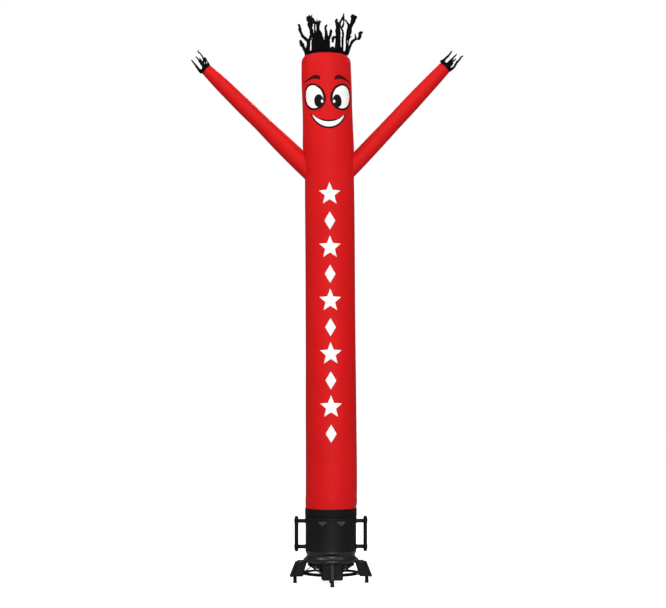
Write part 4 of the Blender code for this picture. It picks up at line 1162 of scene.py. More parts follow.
# ---------------------------------------------------------------- fringes
HAIR_RADIUS = 0.1970
HAIR_FLOOR = 4.8372
HAIR_BACKING = 0.026
HAIR_SINK = 0.0060        # the band's foot is sewn into the crown's puckers
HAIR_PROUD = 0.0005       # the tall strips start this far out from the band
SHORT_ROOT = (-0.0035, 0.0015)    # and the short ones between these
SHORT_LEAN = (-0.010, 0.024)      # how far the tip of a short strip leans out,
SHORT_LEAN_RISE = 0.12            # when it stands as high as this
SHORT_SWAY = (-0.018, 0.018)      # and how far it sways to a side
SHORT_SWAY_RISE = 0.10
SHORT_TIP_SWAY = (-0.6, 2.2)      # shares of that sway at its tip
SHORT_TURN = (-0.5, 0.5)
Lock = namedtuple("Lock", "angle points widths")
LOCKS = (                 # (across, back, up) from the middle of the hair's root ring
    Lock(-153.6, ((-0.170, -0.087, 0.049), (-0.159, -0.086, 0.089), (-0.170, -0.083, 0.116),
          (-0.196, -0.081, 0.139), (-0.222, -0.079, 0.169), (-0.237, -0.080, 0.214),
          (-0.240, -0.083, 0.246), (-0.257, -0.089, 0.266)),
         (0.035, 0.031, 0.032, 0.031, 0.028, 0.026, 0.028, 0.023, 0.019)),
    Lock(-158, ((-0.196, -0.073, 0.039), (-0.206, -0.076, 0.058), (-0.222, -0.083, 0.086),
          (-0.232, -0.090, 0.111), (-0.240, -0.094, 0.120)),
         (0.028, 0.031, 0.034, 0.037, 0.031, 0.019)),
    Lock(-143.6, ((-0.156, -0.120, 0.068), (-0.152, -0.123, 0.106), (-0.140, -0.125, 0.145),
          (-0.133, -0.124, 0.187), (-0.143, -0.120, 0.231), (-0.149, -0.114, 0.284),
          (-0.153, -0.108, 0.338)), (0.028, 0.028, 0.029, 0.029, 0.032, 0.041, 0.057, 0.059)),
    Lock(-124.9, ((-0.107, -0.160, 0.058), (-0.113, -0.156, 0.118), (-0.123, -0.156, 0.157),
          (-0.131, -0.166, 0.187)), (0.047, 0.047, 0.035, 0.029, 0.020)),
    Lock(-119, ((-0.099, -0.172, 0.108), (-0.099, -0.175, 0.159), (-0.103, -0.180, 0.203),
          (-0.103, -0.187, 0.240), (-0.113, -0.193, 0.274), (-0.129, -0.196, 0.300)),
         (0.035, 0.032, 0.022, 0.014, 0.017, 0.022, 0.017)),
    Lock(-108, ((-0.066, -0.193, 0.155), (-0.070, -0.196, 0.199), (-0.079, -0.195, 0.235),
          (-0.094, -0.189, 0.259), (-0.103, -0.181, 0.269)),
         (0.035, 0.025, 0.019, 0.022, 0.020, 0.011)),
    Lock(-110, ((-0.074, -0.184, 0.131), (-0.082, -0.180, 0.196), (-0.081, -0.181, 0.242),
          (-0.081, -0.191, 0.281)), (0.035, 0.032, 0.013, 0.016, 0.010)),
    Lock(-105.1, ((-0.049, -0.190, 0.064), (-0.049, -0.192, 0.109), (-0.060, -0.196, 0.154),
          (-0.069, -0.202, 0.191), (-0.067, -0.208, 0.229), (-0.062, -0.213, 0.253),
          (-0.049, -0.215, 0.264)), (0.047, 0.054, 0.051, 0.044, 0.025, 0.023, 0.029, 0.025)),
    Lock(-90.8, ((0.000, -0.202, 0.062), (0.004, -0.205, 0.119), (0.000, -0.206, 0.164),
          (-0.004, -0.203, 0.204), (-0.001, -0.198, 0.226), (0.011, -0.191, 0.235)),
         (0.047, 0.047, 0.034, 0.026, 0.019, 0.022, 0.016)),
    Lock(-83.2, ((0.020, -0.195, 0.076), (0.026, -0.192, 0.116), (0.039, -0.190, 0.142),
          (0.045, -0.193, 0.171), (0.041, -0.202, 0.194)), (0.035, 0.032, 0.029, 0.025, 0.025, 0.011)),
    Lock(-62, ((0.098, -0.174, 0.094), (0.088, -0.179, 0.132), (0.070, -0.186, 0.124),
          (0.061, -0.194, 0.096), (0.062, -0.198, 0.070)), (0.032, 0.032, 0.032, 0.026, 0.026, 0.013)),
    Lock(-54.8, ((0.114, -0.164, 0.057), (0.114, -0.167, 0.109), (0.114, -0.169, 0.147),
          (0.106, -0.169, 0.180), (0.109, -0.167, 0.219), (0.101, -0.163, 0.256),
          (0.091, -0.158, 0.277), (0.106, -0.153, 0.297)),
         (0.044, 0.040, 0.037, 0.040, 0.047, 0.040, 0.037, 0.025, 0.022)),
    Lock(-53.5, ((0.120, -0.158, 0.163), (0.120, -0.156, 0.209), (0.124, -0.153, 0.252),
          (0.137, -0.152, 0.281), (0.154, -0.156, 0.306), (0.161, -0.164, 0.345)),
         (0.017, 0.019, 0.028, 0.023, 0.019, 0.025, 0.008)),
    Lock(-40.8, ((0.150, -0.128, 0.066), (0.151, -0.129, 0.118), (0.156, -0.132, 0.156),
          (0.152, -0.136, 0.188), (0.143, -0.141, 0.212), (0.153, -0.146, 0.237),
          (0.161, -0.149, 0.262), (0.160, -0.150, 0.298)),
         (0.020, 0.020, 0.022, 0.022, 0.017, 0.019, 0.019, 0.013, 0.014)),
    Lock(-24, ((0.186, -0.084, 0.076), (0.186, -0.087, 0.134), (0.194, -0.086, 0.193),
          (0.207, -0.083, 0.253), (0.186, -0.076, 0.295), (0.163, -0.069, 0.320)),
         (0.017, 0.014, 0.016, 0.022, 0.028, 0.023, 0.013)),
    Lock(-16.6, ((0.192, -0.056, 0.063), (0.186, -0.054, 0.116), (0.201, -0.051, 0.156),
          (0.218, -0.049, 0.199), (0.226, -0.047, 0.245), (0.237, -0.048, 0.284),
          (0.251, -0.052, 0.319), (0.264, -0.058, 0.357)),
         (0.028, 0.020, 0.017, 0.022, 0.035, 0.034, 0.038, 0.059, 0.068)),
    Lock(-8, ((0.203, -0.026, 0.050), (0.216, -0.027, 0.080), (0.236, -0.029, 0.115),
          (0.262, -0.033, 0.133), (0.295, -0.037, 0.138), (0.312, -0.041, 0.161),
          (0.314, -0.044, 0.190), (0.337, -0.045, 0.200)),
         (0.025, 0.014, 0.016, 0.023, 0.028, 0.038, 0.035, 0.035, 0.032)),
    Lock(-4, ((0.237, -0.017, 0.101), (0.261, -0.019, 0.130), (0.271, -0.016, 0.154),
          (0.268, -0.009, 0.179), (0.266, 0.001, 0.201)), (0.017, 0.011, 0.014, 0.022, 0.017, 0.008)),
    Lock(-12, ((0.201, -0.038, 0.087), (0.208, -0.033, 0.140), (0.223, -0.033, 0.163),
          (0.240, -0.042, 0.166)), (0.020, 0.013, 0.014, 0.019, 0.010)),
)
Patch = namedtuple("Patch", "start end count low high wide")
HAIR_PATCHES = (          # short strips between two directions: how many, how high, how wide
    Patch(-131, -84, 17, 0.070, 0.118, 0.027),
    Patch(-84, -60, 7, 0.026, 0.044, 0.020),
    Patch(-60, -44, 3, 0.030, 0.050, 0.018),
    Patch(-44, 30, 5, 0.018, 0.036, 0.016),
    Patch(30, 62, 9, 0.045, 0.075, 0.022),
    Patch(62, 120, 18, 0.070, 0.130, 0.026),
    Patch(120, 148, 8, 0.045, 0.075, 0.022),
    Patch(148, 229, 5, 0.018, 0.036, 0.016),
)
HAIR_SEED = 23
FINGER_CUFF = 0.034
FINGER_SEED = 5
FINGERS = {               # (across, back, along the sleeve) from its end's middle, in front
    "left": (
        Lock(-166, ((-0.050, -0.012, 0.060), (-0.042, -0.010, 0.100), (-0.040, -0.009, 0.123),
              (-0.036, -0.010, 0.150), (-0.034, -0.013, 0.165)),
             (0.032, 0.026, 0.021, 0.018, 0.014, 0.008)),
        Lock(-89, ((0.002, -0.054, 0.060), (0.004, -0.058, 0.089), (0.009, -0.063, 0.116),
              (0.011, -0.065, 0.147)), (0.028, 0.020, 0.016, 0.014, 0.009)),
        Lock(-95, ((0.011, -0.056, 0.059), (0.021, -0.055, 0.092), (0.027, -0.050, 0.117)),
             (0.022, 0.017, 0.013, 0.006)),
        Lock(-78, ((0.011, -0.052, 0.051), (0.036, -0.051, 0.072), (0.048, -0.051, 0.091),
              (0.058, -0.052, 0.115), (0.060, -0.054, 0.139), (0.058, -0.057, 0.159),
              (0.070, -0.061, 0.172)), (0.025, 0.022, 0.016, 0.014, 0.014, 0.013, 0.014, 0.008)),
        Lock(-33, ((0.052, -0.031, 0.029), (0.058, -0.034, 0.058), (0.064, -0.036, 0.079),
              (0.061, -0.035, 0.098)), (0.020, 0.015, 0.014, 0.012, 0.006)),
        Lock(-56, ((0.030, -0.046, 0.033), (0.036, -0.043, 0.057), (0.052, -0.041, 0.078)),
             (0.017, 0.013, 0.013, 0.008)),
    ),
    "right": (
        Lock(-161, ((-0.051, -0.019, 0.041), (-0.051, -0.017, 0.081), (-0.048, -0.016, 0.108),
              (-0.051, -0.016, 0.135), (-0.054, -0.020, 0.158)),
             (0.038, 0.027, 0.018, 0.018, 0.013, 0.010)),
        Lock(-86, ((0.000, -0.060, 0.075), (0.001, -0.064, 0.111), (0.003, -0.069, 0.138),
              (0.002, -0.071, 0.156)), (0.025, 0.020, 0.015, 0.013, 0.006)),
        Lock(-71, ((0.019, -0.059, 0.067), (0.022, -0.058, 0.088), (0.026, -0.053, 0.122)),
             (0.022, 0.022, 0.019, 0.008)),
        Lock(-26, ((0.060, -0.025, 0.066), (0.058, -0.024, 0.091), (0.047, -0.023, 0.113),
              (0.052, -0.025, 0.139), (0.047, -0.028, 0.169), (0.053, -0.032, 0.192)),
             (0.022, 0.018, 0.018, 0.017, 0.016, 0.016, 0.012)),
        Lock(-101, ((0.008, -0.062, 0.055), (0.007, -0.067, 0.084), (0.009, -0.067, 0.106)),
             (0.022, 0.022, 0.015, 0.007)),
    ),
}
FINGER_GROWTH = (0.75, 0.95)      # lengths of the strips behind, for those in front
FINGER_CRUMPLE = 0.003
FRINGE_WALL = 0.002       # of the strip that a fringe is cut from
RIBBON_COLUMNS = (-1.0, -0.5, 0.0, 0.5, 1.0)
RIBBON_STEP = 0.012
RIBBON_WALL = 0.0008
RIBBON_CUP = 0.25         # how far a ribbon may curl across, for its width
RIBBON_TWIST = 0.5
RIBBON_RAGGED = 0.45      # how far its edges wander, for its width
RAGGED_PITCH = 60         # wanders, and creases, in a metre of it
CREASE_PITCH = 28
TIP_JAG = (-0.32, 0.18)   # how far its torn tip may lie short or past, for its width


def ribbon(bm, points, widths, across, chance, crumple=0.0035, turn=0.0):
    """One torn strip of thin cloth along a line of points, creased and ragged."""
    rows = [(k, *point, width) for k, (point, width) in enumerate(zip(points, widths))]
    last = len(rows) - 1
    length = sum((b - a).length for a, b in zip(points, points[1:]))
    steps = max(5, round(length / RIBBON_STEP))
    seed = Vector((chance.uniform(0, 90), chance.uniform(0, 90), chance.uniform(0, 90)))
    cup = chance.uniform(-RIBBON_CUP, RIBBON_CUP)
    grid = []
    for step in range(steps + 1):
        t = step / steps
        here = between(rows, t * last, (1, 2, 3, 4))
        ahead = between(rows, min(t + 0.02, 1.0) * last, (1, 2, 3))
        behind = between(rows, max(t - 0.02, 0.0) * last, (1, 2, 3))
        along = (Vector(ahead) - Vector(behind)).normalized()
        side = (across - along * across.dot(along)).normalized()
        twist = turn * t + RIBBON_TWIST * noise.noise(seed + Vector((t * 3, 0, 0)))
        side.rotate(Matrix.Rotation(twist, 3, along))
        out = along.cross(side)
        loose = ease(t * 4)
        wide = here[3]
        row = []
        for column in RIBBON_COLUMNS:
            wander = noise.noise(seed + Vector((t * length * RAGGED_PITCH, column * 9, 0)))
            crease = noise.noise(seed + Vector((t * length * CREASE_PITCH, column * 0.9, 5)))
            reach = wide / 2 * column * (1.0 + RIBBON_RAGGED * abs(column) * loose * wander)
            lift = cup * wide * (column * column - 0.4) * loose + crumple * loose * crease
            point = Vector(here[:3]) + side * reach + out * lift
            if step == steps:
                point += along * wide * chance.uniform(*TIP_JAG)
            row.append(bm.verts.new(point))
        grid.append(row)
    for low, high in zip(grid, grid[1:]):
        for k in range(len(low) - 1):
            bm.faces.new((low[k], low[k + 1], high[k + 1], high[k]))


def band(place, radius, height, steps=96):
    """The narrow strip that a fringe is cut from, sewn round in a ring."""
    bm = bmesh.new()
    rings = []
    for k in range(steps):
        angle = 2 * math.pi * k / steps
        waver = 0.0006 * math.sin(9 * angle + 1.0)
        outer = radius + waver
        inner = radius - FRINGE_WALL + waver
        section = ((outer, 0.0), (outer, height), (inner, height), (inner, 0.0))
        rings.append([bm.verts.new(place @ turned(r, angle, z)) for r, z in section])
    for k in range(steps):
        ring, following = rings[k], rings[(k + 1) % steps]
        for m in range(4):
            n = (m + 1) % 4
            bm.faces.new((ring[m], following[m], following[n], ring[n]))
    bmesh.ops.recalc_face_normals(bm, faces=bm.faces)
    return bm


def finish_fringe(name, strips, backing, node):
    """The ribbons and the strip that they hang on, standing for the fringe's solid."""
    ribbons = walled(add_piece(name, mesh_of(name, strips), BLACK), RIBBON_WALL)
    tape = add_piece(name + "_backing", mesh_of(name + "_backing", backing), BLACK,
                     angle=60)
    return [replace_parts(ribbons, node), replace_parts(tape, node)]


def ribbon_way(out):
    """Which way a ribbon is broad: partly round its ring, partly to the left and right."""
    return Vector((-out.y, out.x, 0.0)) * 0.35 + Vector((0.9, 0.0, 0.0))


def short_strip(strips, middle, patch, place, chance):
    """A short strip at a place in its patch, with its rise, lean and sway by chance."""
    angle = math.radians(patch.start + (patch.end - patch.start) * place / patch.count)
    out = turned(1.0, angle, 0.0)
    side = Vector((-out.y, out.x, 0.0))
    rise = chance.uniform(patch.low, patch.high)
    lean = chance.uniform(*SHORT_LEAN) * rise / SHORT_LEAN_RISE
    sway = chance.uniform(*SHORT_SWAY) * rise / SHORT_SWAY_RISE
    radius = HAIR_RADIUS + chance.uniform(*SHORT_ROOT)
    bends = ((0.0, 0.0, 0.0), (0.2, 0.6, 0.35), (0.6, 1.3, 0.70),
             (1.0, chance.uniform(*SHORT_TIP_SWAY), 1.0))
    points = [middle + out * (radius + lean * leant) + side * sway * swayed + Vector((0, 0, rise * up))
              for leant, swayed, up in bends]
    wide = patch.wide * chance.uniform(0.8, 1.2)
    widths = (wide, wide * 1.1, wide * 0.9, wide * chance.uniform(0.3, 0.8))
    ribbon(strips, points, widths, side, chance, turn=chance.uniform(*SHORT_TURN))


def make_hair():
    """Ragged strips round the crown: the tall ones placed, the short ones scattered."""
    chance = random.Random(HAIR_SEED)
    strips = bmesh.new()
    middle = Vector((HEAD_X, 0.0, HAIR_FLOOR + 0.5 * HAIR_BACKING))
    for lock in LOCKS:
        angle = math.radians(lock.angle)
        out = turned(1.0, angle, 0.0)
        root = middle + out * (HAIR_RADIUS + HAIR_PROUD)
        points = [root, *[middle + Vector(point) for point in lock.points]]
        ribbon(strips, points, lock.widths, ribbon_way(out), chance)
    for patch in HAIR_PATCHES:
        for k in range(patch.count):
            short_strip(strips, middle, patch, k + chance.uniform(0.2, 0.8), chance)
    floor = Matrix.Translation((HEAD_X, 0.0, HAIR_FLOOR - HAIR_SINK))
    backing = band(floor, HAIR_RADIUS, HAIR_BACKING + HAIR_SINK)
    return finish_fringe("hair_strips", strips, backing, "hair_fringe")


def make_fingers(arm, index):
    """Thin torn strips that spread from the sleeve's cuff, the same behind as in front."""
    chance = random.Random(FINGER_SEED + index)
    strips = bmesh.new()
    place = sleeve_frame(arm) @ Matrix.Translation((0.0, 0.0, arm.reach + GAP))
    turn = place.to_3x3()
    radius = arm.sections[-1][1]
    for lock in FINGERS[arm.name]:
        for back in (1, -1):
            angle = math.radians(lock.angle) * back
            out = turned(1.0, angle, 0.0)
            grow = 1.0 if back == 1 else chance.uniform(*FINGER_GROWTH)
            points = [out * (radius - 0.001) + Vector((0.0, 0.0, FINGER_CUFF * 0.4))]
            points += [Vector((x, y * back, z * grow)) for x, y, z in lock.points]
            ribbon(strips, [place @ point for point in points], lock.widths,
                   turn @ ribbon_way(out * back), chance, crumple=FINGER_CRUMPLE)
    backing = band(place, radius, FINGER_CUFF, steps=56)
    return finish_fringe(f"finger_strips_{arm.name}", strips, backing, f"finger_fringe_{arm.name}")


# ---------------------------------------------------------- repeated things
def shape_tree(name, *inputs):
    """A Geometry Nodes tree with named inputs for a shape, its sizes and its material."""
    return empty_tree(name, "GeometryNodeTree",
                      [("Geometry", SHAPE, None), *inputs, ("Material", PAINT, None)],
                      [("Geometry", SHAPE)])


def finish_tree(tree, given, result, instances):
    """End a tree in realized instances with their material."""
    real = wire(tree, "GeometryNodeRealizeInstances", {0: instances})
    painted = wire(tree, "GeometryNodeSetMaterial",
                   {"Geometry": real.outputs[0], "Material": given.outputs["Material"]})
    tree.links.new(painted.outputs[0], result.inputs[0])


def make_stitch_tree():
    """Stitches of thread along every line of a mesh of edges."""
    tree, given, result = shape_tree("stitches", ("Pitch", FLOAT, 0.005), ("Stitch", FLOAT, 0.0036),
                                     ("Thread", FLOAT, 0.0005))
    line = wire(tree, "GeometryNodeMeshToCurve", {0: given.outputs["Geometry"]})
    points = wire(tree, "GeometryNodeCurveToPoints",
                  {"Curve": line.outputs[0], "Length": given.outputs["Pitch"]}, mode="LENGTH")
    bead = wire(tree, "GeometryNodeMeshIcoSphere", {"Radius": 1.0, "Subdivisions": 1})
    size = wire(tree, "ShaderNodeCombineXYZ",
                {0: given.outputs["Thread"], 1: given.outputs["Thread"],
                 2: sums(tree, "MULTIPLY", given.outputs["Stitch"], 0.5)})
    set_along = wire(tree, "FunctionNodeAlignRotationToVector", {"Vector": points.outputs["Tangent"]},
                     axis="Z")
    rows = wire(tree, "GeometryNodeInstanceOnPoints",
                {"Points": points.outputs["Points"], "Instance": bead.outputs["Mesh"],
                 "Rotation": set_along.outputs[0], "Scale": size.outputs[0]})
    finish_tree(tree, given, result, rows.outputs[0])
    return tree


def make_screw_tree():
    """One screw on every point of a mesh, standing along the point's facing."""
    tree, given, result = shape_tree("screws", ("Screw", "NodeSocketObject", None),
                                     ("Size", FLOAT, 1.0))
    facing = wire(tree, "GeometryNodeInputNamedAttribute", {"Name": "facing"},
                  data_type="FLOAT_VECTOR")
    stand = wire(tree, "FunctionNodeAlignRotationToVector", {"Vector": facing.outputs[0]}, axis="Z")
    screw = wire(tree, "GeometryNodeObjectInfo", {"Object": given.outputs["Screw"]})
    rows = wire(tree, "GeometryNodeInstanceOnPoints",
                {"Points": given.outputs["Geometry"], "Instance": screw.outputs["Geometry"],
                 "Rotation": stand.outputs[0], "Scale": given.outputs["Size"]})
    finish_tree(tree, given, result, rows.outputs[0])
    return tree


def make_spoke_tree():
    """Bars of one section along a mesh of edges, repeated round the upright axis."""
    tree, given, result = shape_tree("spokes", ("Count", "NodeSocketInt", 6),
                                     ("Width", FLOAT, 0.010), ("Thickness", FLOAT, 0.005),
                                     ("Corner", FLOAT, 0.0012))
    line = wire(tree, "GeometryNodeMeshToCurve", {0: given.outputs["Geometry"]})
    level = wire(tree, "GeometryNodeSetCurveNormal", {"Curve": line.outputs[0]}, mode="Z_UP")
    section = wire(tree, "GeometryNodeCurvePrimitiveQuadrilateral",
                   {"Width": given.outputs["Width"], "Height": given.outputs["Thickness"]})
    eased_section = wire(tree, "GeometryNodeFilletCurve",
                         {"Curve": section.outputs[0], "Radius": given.outputs["Corner"],
                          "Count": 2}, mode="POLY")
    bars = wire(tree, "GeometryNodeCurveToMesh",
                {"Curve": level.outputs[0], "Profile Curve": eased_section.outputs[0],
                 "Fill Caps": True})
    middle = wire(tree, "GeometryNodePoints", {"Count": given.outputs["Count"]})
    number = tree.nodes.new("GeometryNodeInputIndex")
    share = sums(tree, "DIVIDE", number.outputs[0], given.outputs["Count"])
    about = wire(tree, "ShaderNodeCombineXYZ", {2: sums(tree, "MULTIPLY", share, 2 * math.pi)})
    rows = wire(tree, "GeometryNodeInstanceOnPoints",
                {"Points": middle.outputs[0], "Instance": bars.outputs[0],
                 "Rotation": about.outputs[0]})
    finish_tree(tree, given, result, rows.outputs[0])
    return tree


def lines_mesh(name, lines):
    """A mesh of edges through lists of points; a line that ends where it began is closed."""
    points, edges = [], []
    for line in lines:
        first = len(points)
        closed = (Vector(line[0]) - Vector(line[-1])).length < 1e-6
        kept = line[:-1] if closed else line
        points += [tuple(point) for point in kept]
        edges += [(first + k, first + k + 1) for k in range(len(kept) - 1)]
        if closed:
            edges.append((first + len(kept) - 1, first))
    mesh = bpy.data.meshes.new(name)
    mesh.from_pydata(points, edges, [])
    return mesh


def grown(name, mesh, tree, values, material, place=None, angle=50):
    """What a tree makes of a mesh, as a plain piece."""
    seed = linked(name + "_seed", mesh)
    modifier = seed.modifiers.new("Grow", "NODES")
    modifier.node_group = tree
    sockets = {item.name: item.identifier for item in tree.interface.items_tree
               if item.item_type == "SOCKET" and item.in_out == "INPUT"}
    for title, value in {**values, "Material": material}.items():
        modifier[sockets[title]] = value
    made = evaluated_mesh(seed)
    bpy.data.objects.remove(seed, do_unlink=True)
    if place:
        made.transform(place)
    return add_piece(name, made, material, angle=angle)


def ring_line(point_at, steps=180):
    """A closed line of points round something."""
    return [point_at(2 * math.pi * k / steps) for k in range(steps)] + [point_at(0.0)]


STITCHES = {"Pitch": 0.0052, "Stitch": 0.0038, "Thread": 0.00055}
STITCH_LIFT = 0.0003      # how far the thread stands off its cloth
SEWN_BESIDE = (-0.0040, 0.0040)     # the two lines of a felled seam
SEWN_AT_HOLE = (0.006, 0.012)       # the two lines round an armhole and a sleeve's end
SEWN_ON_CROWN = (0.060, 0.965)      # shares of the way from the crown's rim to its vent
SEWN_ON_STRAP = (0.6205, 0.6620)
SEWN_ABOVE_STRAP = 0.006
SEAM_START = 0.004        # the back seam's sewing shows from this far above the strap
SEAM_STEP = 0.02
SLEEVE_SEAM_START = 0.01
SLEEVE_SEAM_STEPS = 70


def body_sewing():
    """Lines up the back seam, above the strap, and round the crown."""
    for away in SEWN_BESIDE:
        angle = BACK_SEAM + away / BODY_MEAN
        low = STRAP_TOP + SEAM_START
        levels = [low + SEAM_STEP * k for k in range(1 + int((BODY_TOP - low) / SEAM_STEP))]
        yield [body_point(angle, height, STITCH_LIFT) for height in levels]
    yield ring_line(lambda angle: body_point(angle, STRAP_TOP + SEWN_ABOVE_STRAP, STITCH_LIFT))
    for share in SEWN_ON_CROWN:
        yield ring_line(lambda angle: crown_point(angle, share, STITCH_LIFT))


def sleeve_sewing(arm, starts, angles):
    """Lines along a sleeve's seam, round its armhole and round its end."""
    frame_here = sleeve_frame(arm)

    def sewn(angle, along, from_root):
        return sleeve_point(arm, frame_here, angle, along, from_root, STITCH_LIFT)

    for away in SEWN_BESIDE:
        angle = lower_side(arm) + away / sleeve_radius(arm, arm.reach / 2)
        start = starts[0] + SLEEVE_SEAM_START
        levels = [start + (arm.reach - start) * k / SLEEVE_SEAM_STEPS
                  for k in range(SLEEVE_SEAM_STEPS + 1)]
        yield [sewn(angle, along, along - starts[0]) for along in levels]
    for inset in SEWN_AT_HOLE:
        hole = [sewn(angle, start + inset, inset) for start, angle in zip(starts, angles)]
        yield [*hole, hole[0]]
        yield ring_line(lambda angle: sewn(angle, arm.reach - inset, 1.0), 60)


def make_stitches(roots):
    """All the sewing, in red thread on the cloth and in black on the strap."""
    tree = make_stitch_tree()
    red = [*body_sewing()]
    for arm, (starts, angles) in zip(ARMS, roots):
        red += sleeve_sewing(arm, starts, angles)
    black = [ring_line(lambda angle: strap_point(angle, height, STITCH_LIFT))
             for height in SEWN_ON_STRAP]
    sewing = grown("cloth_stitches", lines_mesh("cloth_stitches", red), tree, STITCHES, THREAD_RED)
    grown("strap_stitches", lines_mesh("strap_stitches", black), tree, STITCHES, THREAD_BLACK)
    return sewing


# --------------------------------------------------- strap and blower shells
STRAP_LOW = 0.6160
STRAP_OUTER = 0.2380
STRAP_WALL = 0.0048
STRAP_DIP = 0.0012        # how much farther in its edges lie
STRAP_BOW = 0.0003
STRAP_WAVE = 0.0007
STRAP_ROWS = 10
STRAP_COLUMNS = 144
NECK_PROFILE = (
    (0.2260, 0.7030), (0.2290, 0.6960), (0.2290, 0.6128), (0.2352, 0.6128),
    (0.2352, 0.6063), (0.2232, 0.6063), (0.2232, 0.7030),
)
BARREL_PROFILE = (
    (0.2362, 0.6060), (0.2362, 0.5950), (0.2330, 0.5910), (0.2330, 0.3060),
    (0.2342, 0.3000), (0.2282, 0.3000), (0.2282, 0.6060),
)
BASE_PROFILE = (
    (0.2342, 0.2997), (0.2332, 0.2900), (0.2300, 0.2805), (0.2252, 0.2720), (0.2218, 0.2660),
    (0.2210, 0.2620), (0.2212, 0.2575), (0.2235, 0.2520), (0.2275, 0.2455), (0.2335, 0.2380),
    (0.2410, 0.2310), (0.2475, 0.2260), (0.2520, 0.2240), (0.2530, 0.2225), (0.2530, 0.1980),
    (0.2475, 0.1980), (0.2475, 0.2185), (0.2250, 0.2365), (0.2155, 0.2560), (0.2155, 0.2680),
    (0.2262, 0.2870), (0.2282, 0.2997),
)
SHELL_EDGE = 0.0009       # how round the edges of the housing's shells are
MOULDED_EDGE = 0.0012     # and those of lugs, brackets and legs,
RING_EDGE = 0.0008        # the guard's rings,
FOOT_EDGE = 0.0006        # and the feet
GRIP_REACH = 0.3165
GRIP_PROFILE = (
    (0.0, 0.6160), (0.0085, 0.6160), (0.0120, 0.6140), (0.0152, 0.6085), (0.0170, 0.6030),
    (0.0178, 0.5970), (0.0178, 0.3090), (0.0170, 0.3030), (0.0152, 0.2975), (0.0120, 0.2920),
    (0.0085, 0.2900), (0.0, 0.2900),
)
LEG_ANGLES = (("front", -90), ("right", 0), ("back", 90), ("left", 180))
LEG_RIB_HALF = 0.0170     # half the middle rib's width, and how far out its faces start
LEG_RIB_OUT = 0.3160
FOOT_REACH = 0.3300
FOOT_PROFILE = (
    (0.0, 0.0627), (0.0165, 0.0627), (0.0165, 0.0200), (0.0176, 0.0160), (0.0180, 0.0120),
    (0.0180, 0.0030), (0.0172, 0.0006), (0.0160, 0.0), (0.0, 0.0),
)
GUARD_RINGS = (           # (outer radius, height, inner radius, height) of the guard's upper face
    (0.2462, 0.2035, 0.2140, 0.2035), (0.2130, 0.1670, 0.2000, 0.1610),
    (0.1880, 0.1540, 0.1750, 0.1450), (0.1630, 0.1350, 0.1500, 0.1245),
    (0.1380, 0.1150, 0.1250, 0.1060), (0.1130, 0.0990, 0.1000, 0.0930),
    (0.0880, 0.0890, 0.0750, 0.0860), (0.0580, 0.0840, 0.0, 0.0830),
)
GUARD_WALL_RING = (0.2140, 0.2035, 0.2130, 0.1670)
GUARD_RIB_LINE = (        # a rib's upper face runs along the rings' from edge to edge
    (0.2135, 0.1670), GUARD_RINGS[1][2:],
    *(face for ring in GUARD_RINGS[2:-1] for face in (ring[:2], ring[2:])), (0.0550, 0.0840),
)
GUARD_WALL = 0.005
GUARD_UPRIGHT = 0.002     # a ring whose face is narrower than this is a wall
GUARD_RIBS = {"Count": 6, "Width": 0.0098, "Thickness": 0.0046, "Corner": 0.0012}
GUARD_TURN = 15           # degrees of the guard's first rib


def strap_point(angle, height, proud=0.0):
    """The webbing's outer face: it bows over the gathers a little and dips at its edges."""
    share = (height - STRAP_LOW) / (STRAP_TOP - STRAP_LOW)
    edge = 1.0 - ease(share * 9) * ease((1 - share) * 9)
    out = STRAP_OUTER - STRAP_DIP * edge + STRAP_BOW * math.sin(5 * angle + 0.6)
    out += STRAP_WAVE * noise.noise(turned(3, angle, share * 1.2))
    return turned(out + proud, angle, height, (AXIS_X, 0.0))


def make_strap():
    """The webbing that ties the cloth to the blower's neck."""
    angles = [2 * math.pi * k / STRAP_COLUMNS for k in range(STRAP_COLUMNS)]
    heights = [STRAP_LOW + (STRAP_TOP - STRAP_LOW) * k / STRAP_ROWS for k in range(STRAP_ROWS + 1)]
    rows = [[strap_point(angle, height) for angle in angles] for height in heights]
    widths = [2 * math.pi * STRAP_OUTER * k / STRAP_COLUMNS for k in range(STRAP_COLUMNS + 1)]
    mesh = sheet_mesh("strap_band", rows, widths, heights)
    strap = walled(add_piece("strap_band", mesh, STRAP), STRAP_WALL)
    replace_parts(strap, "neck_strap")


def make_blower():
    """The neck, barrel and base shells, the tie lugs, and the grips with their brackets."""
    shells = (("blower_neck", NECK_PROFILE), ("blower_barrel", BARREL_PROFILE),
              ("blower_base", BASE_PROFILE))
    for node, profile in shells:
        material = FLARE if node == "blower_base" else HOUSING
        shell = lathe(node + "_moulding", profile, material, edge=SHELL_EDGE)
        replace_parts(shell, node)
    for number in range(1, 5):
        eased(f"tie_lug_{number}", LUG, edge=MOULDED_EDGE)
    for side, name in ((-1, "left"), (1, "right")):
        grip = lathe(f"grip_{name}_moulding", GRIP_PROFILE, GRIP, edge=0.0,
                     steps=36, centre=on_blower(side * GRIP_REACH, 0))
        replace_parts(grip, f"grip_{name}")
        for level in ("upper", "lower"):
            eased(f"bracket_{name}_{level}", GRIP, edge=MOULDED_EDGE)


def mark_rib(leg, degrees):
    """Note on the leg's faces which of them belong to its middle rib, where a highlight is painted."""
    rib = leg.data.attributes.new("rib", "FLOAT", "FACE")
    inwards = Matrix.Rotation(-math.radians(degrees + BLOWER_TURN), 3, "Z")
    for index, face in enumerate(leg.data.polygons):
        away = inwards @ (face.center - Vector((AXIS_X, 0.0, 0.0)))
        rib.data[index].value = float(abs(away.y) < LEG_RIB_HALF and away.x > LEG_RIB_OUT)


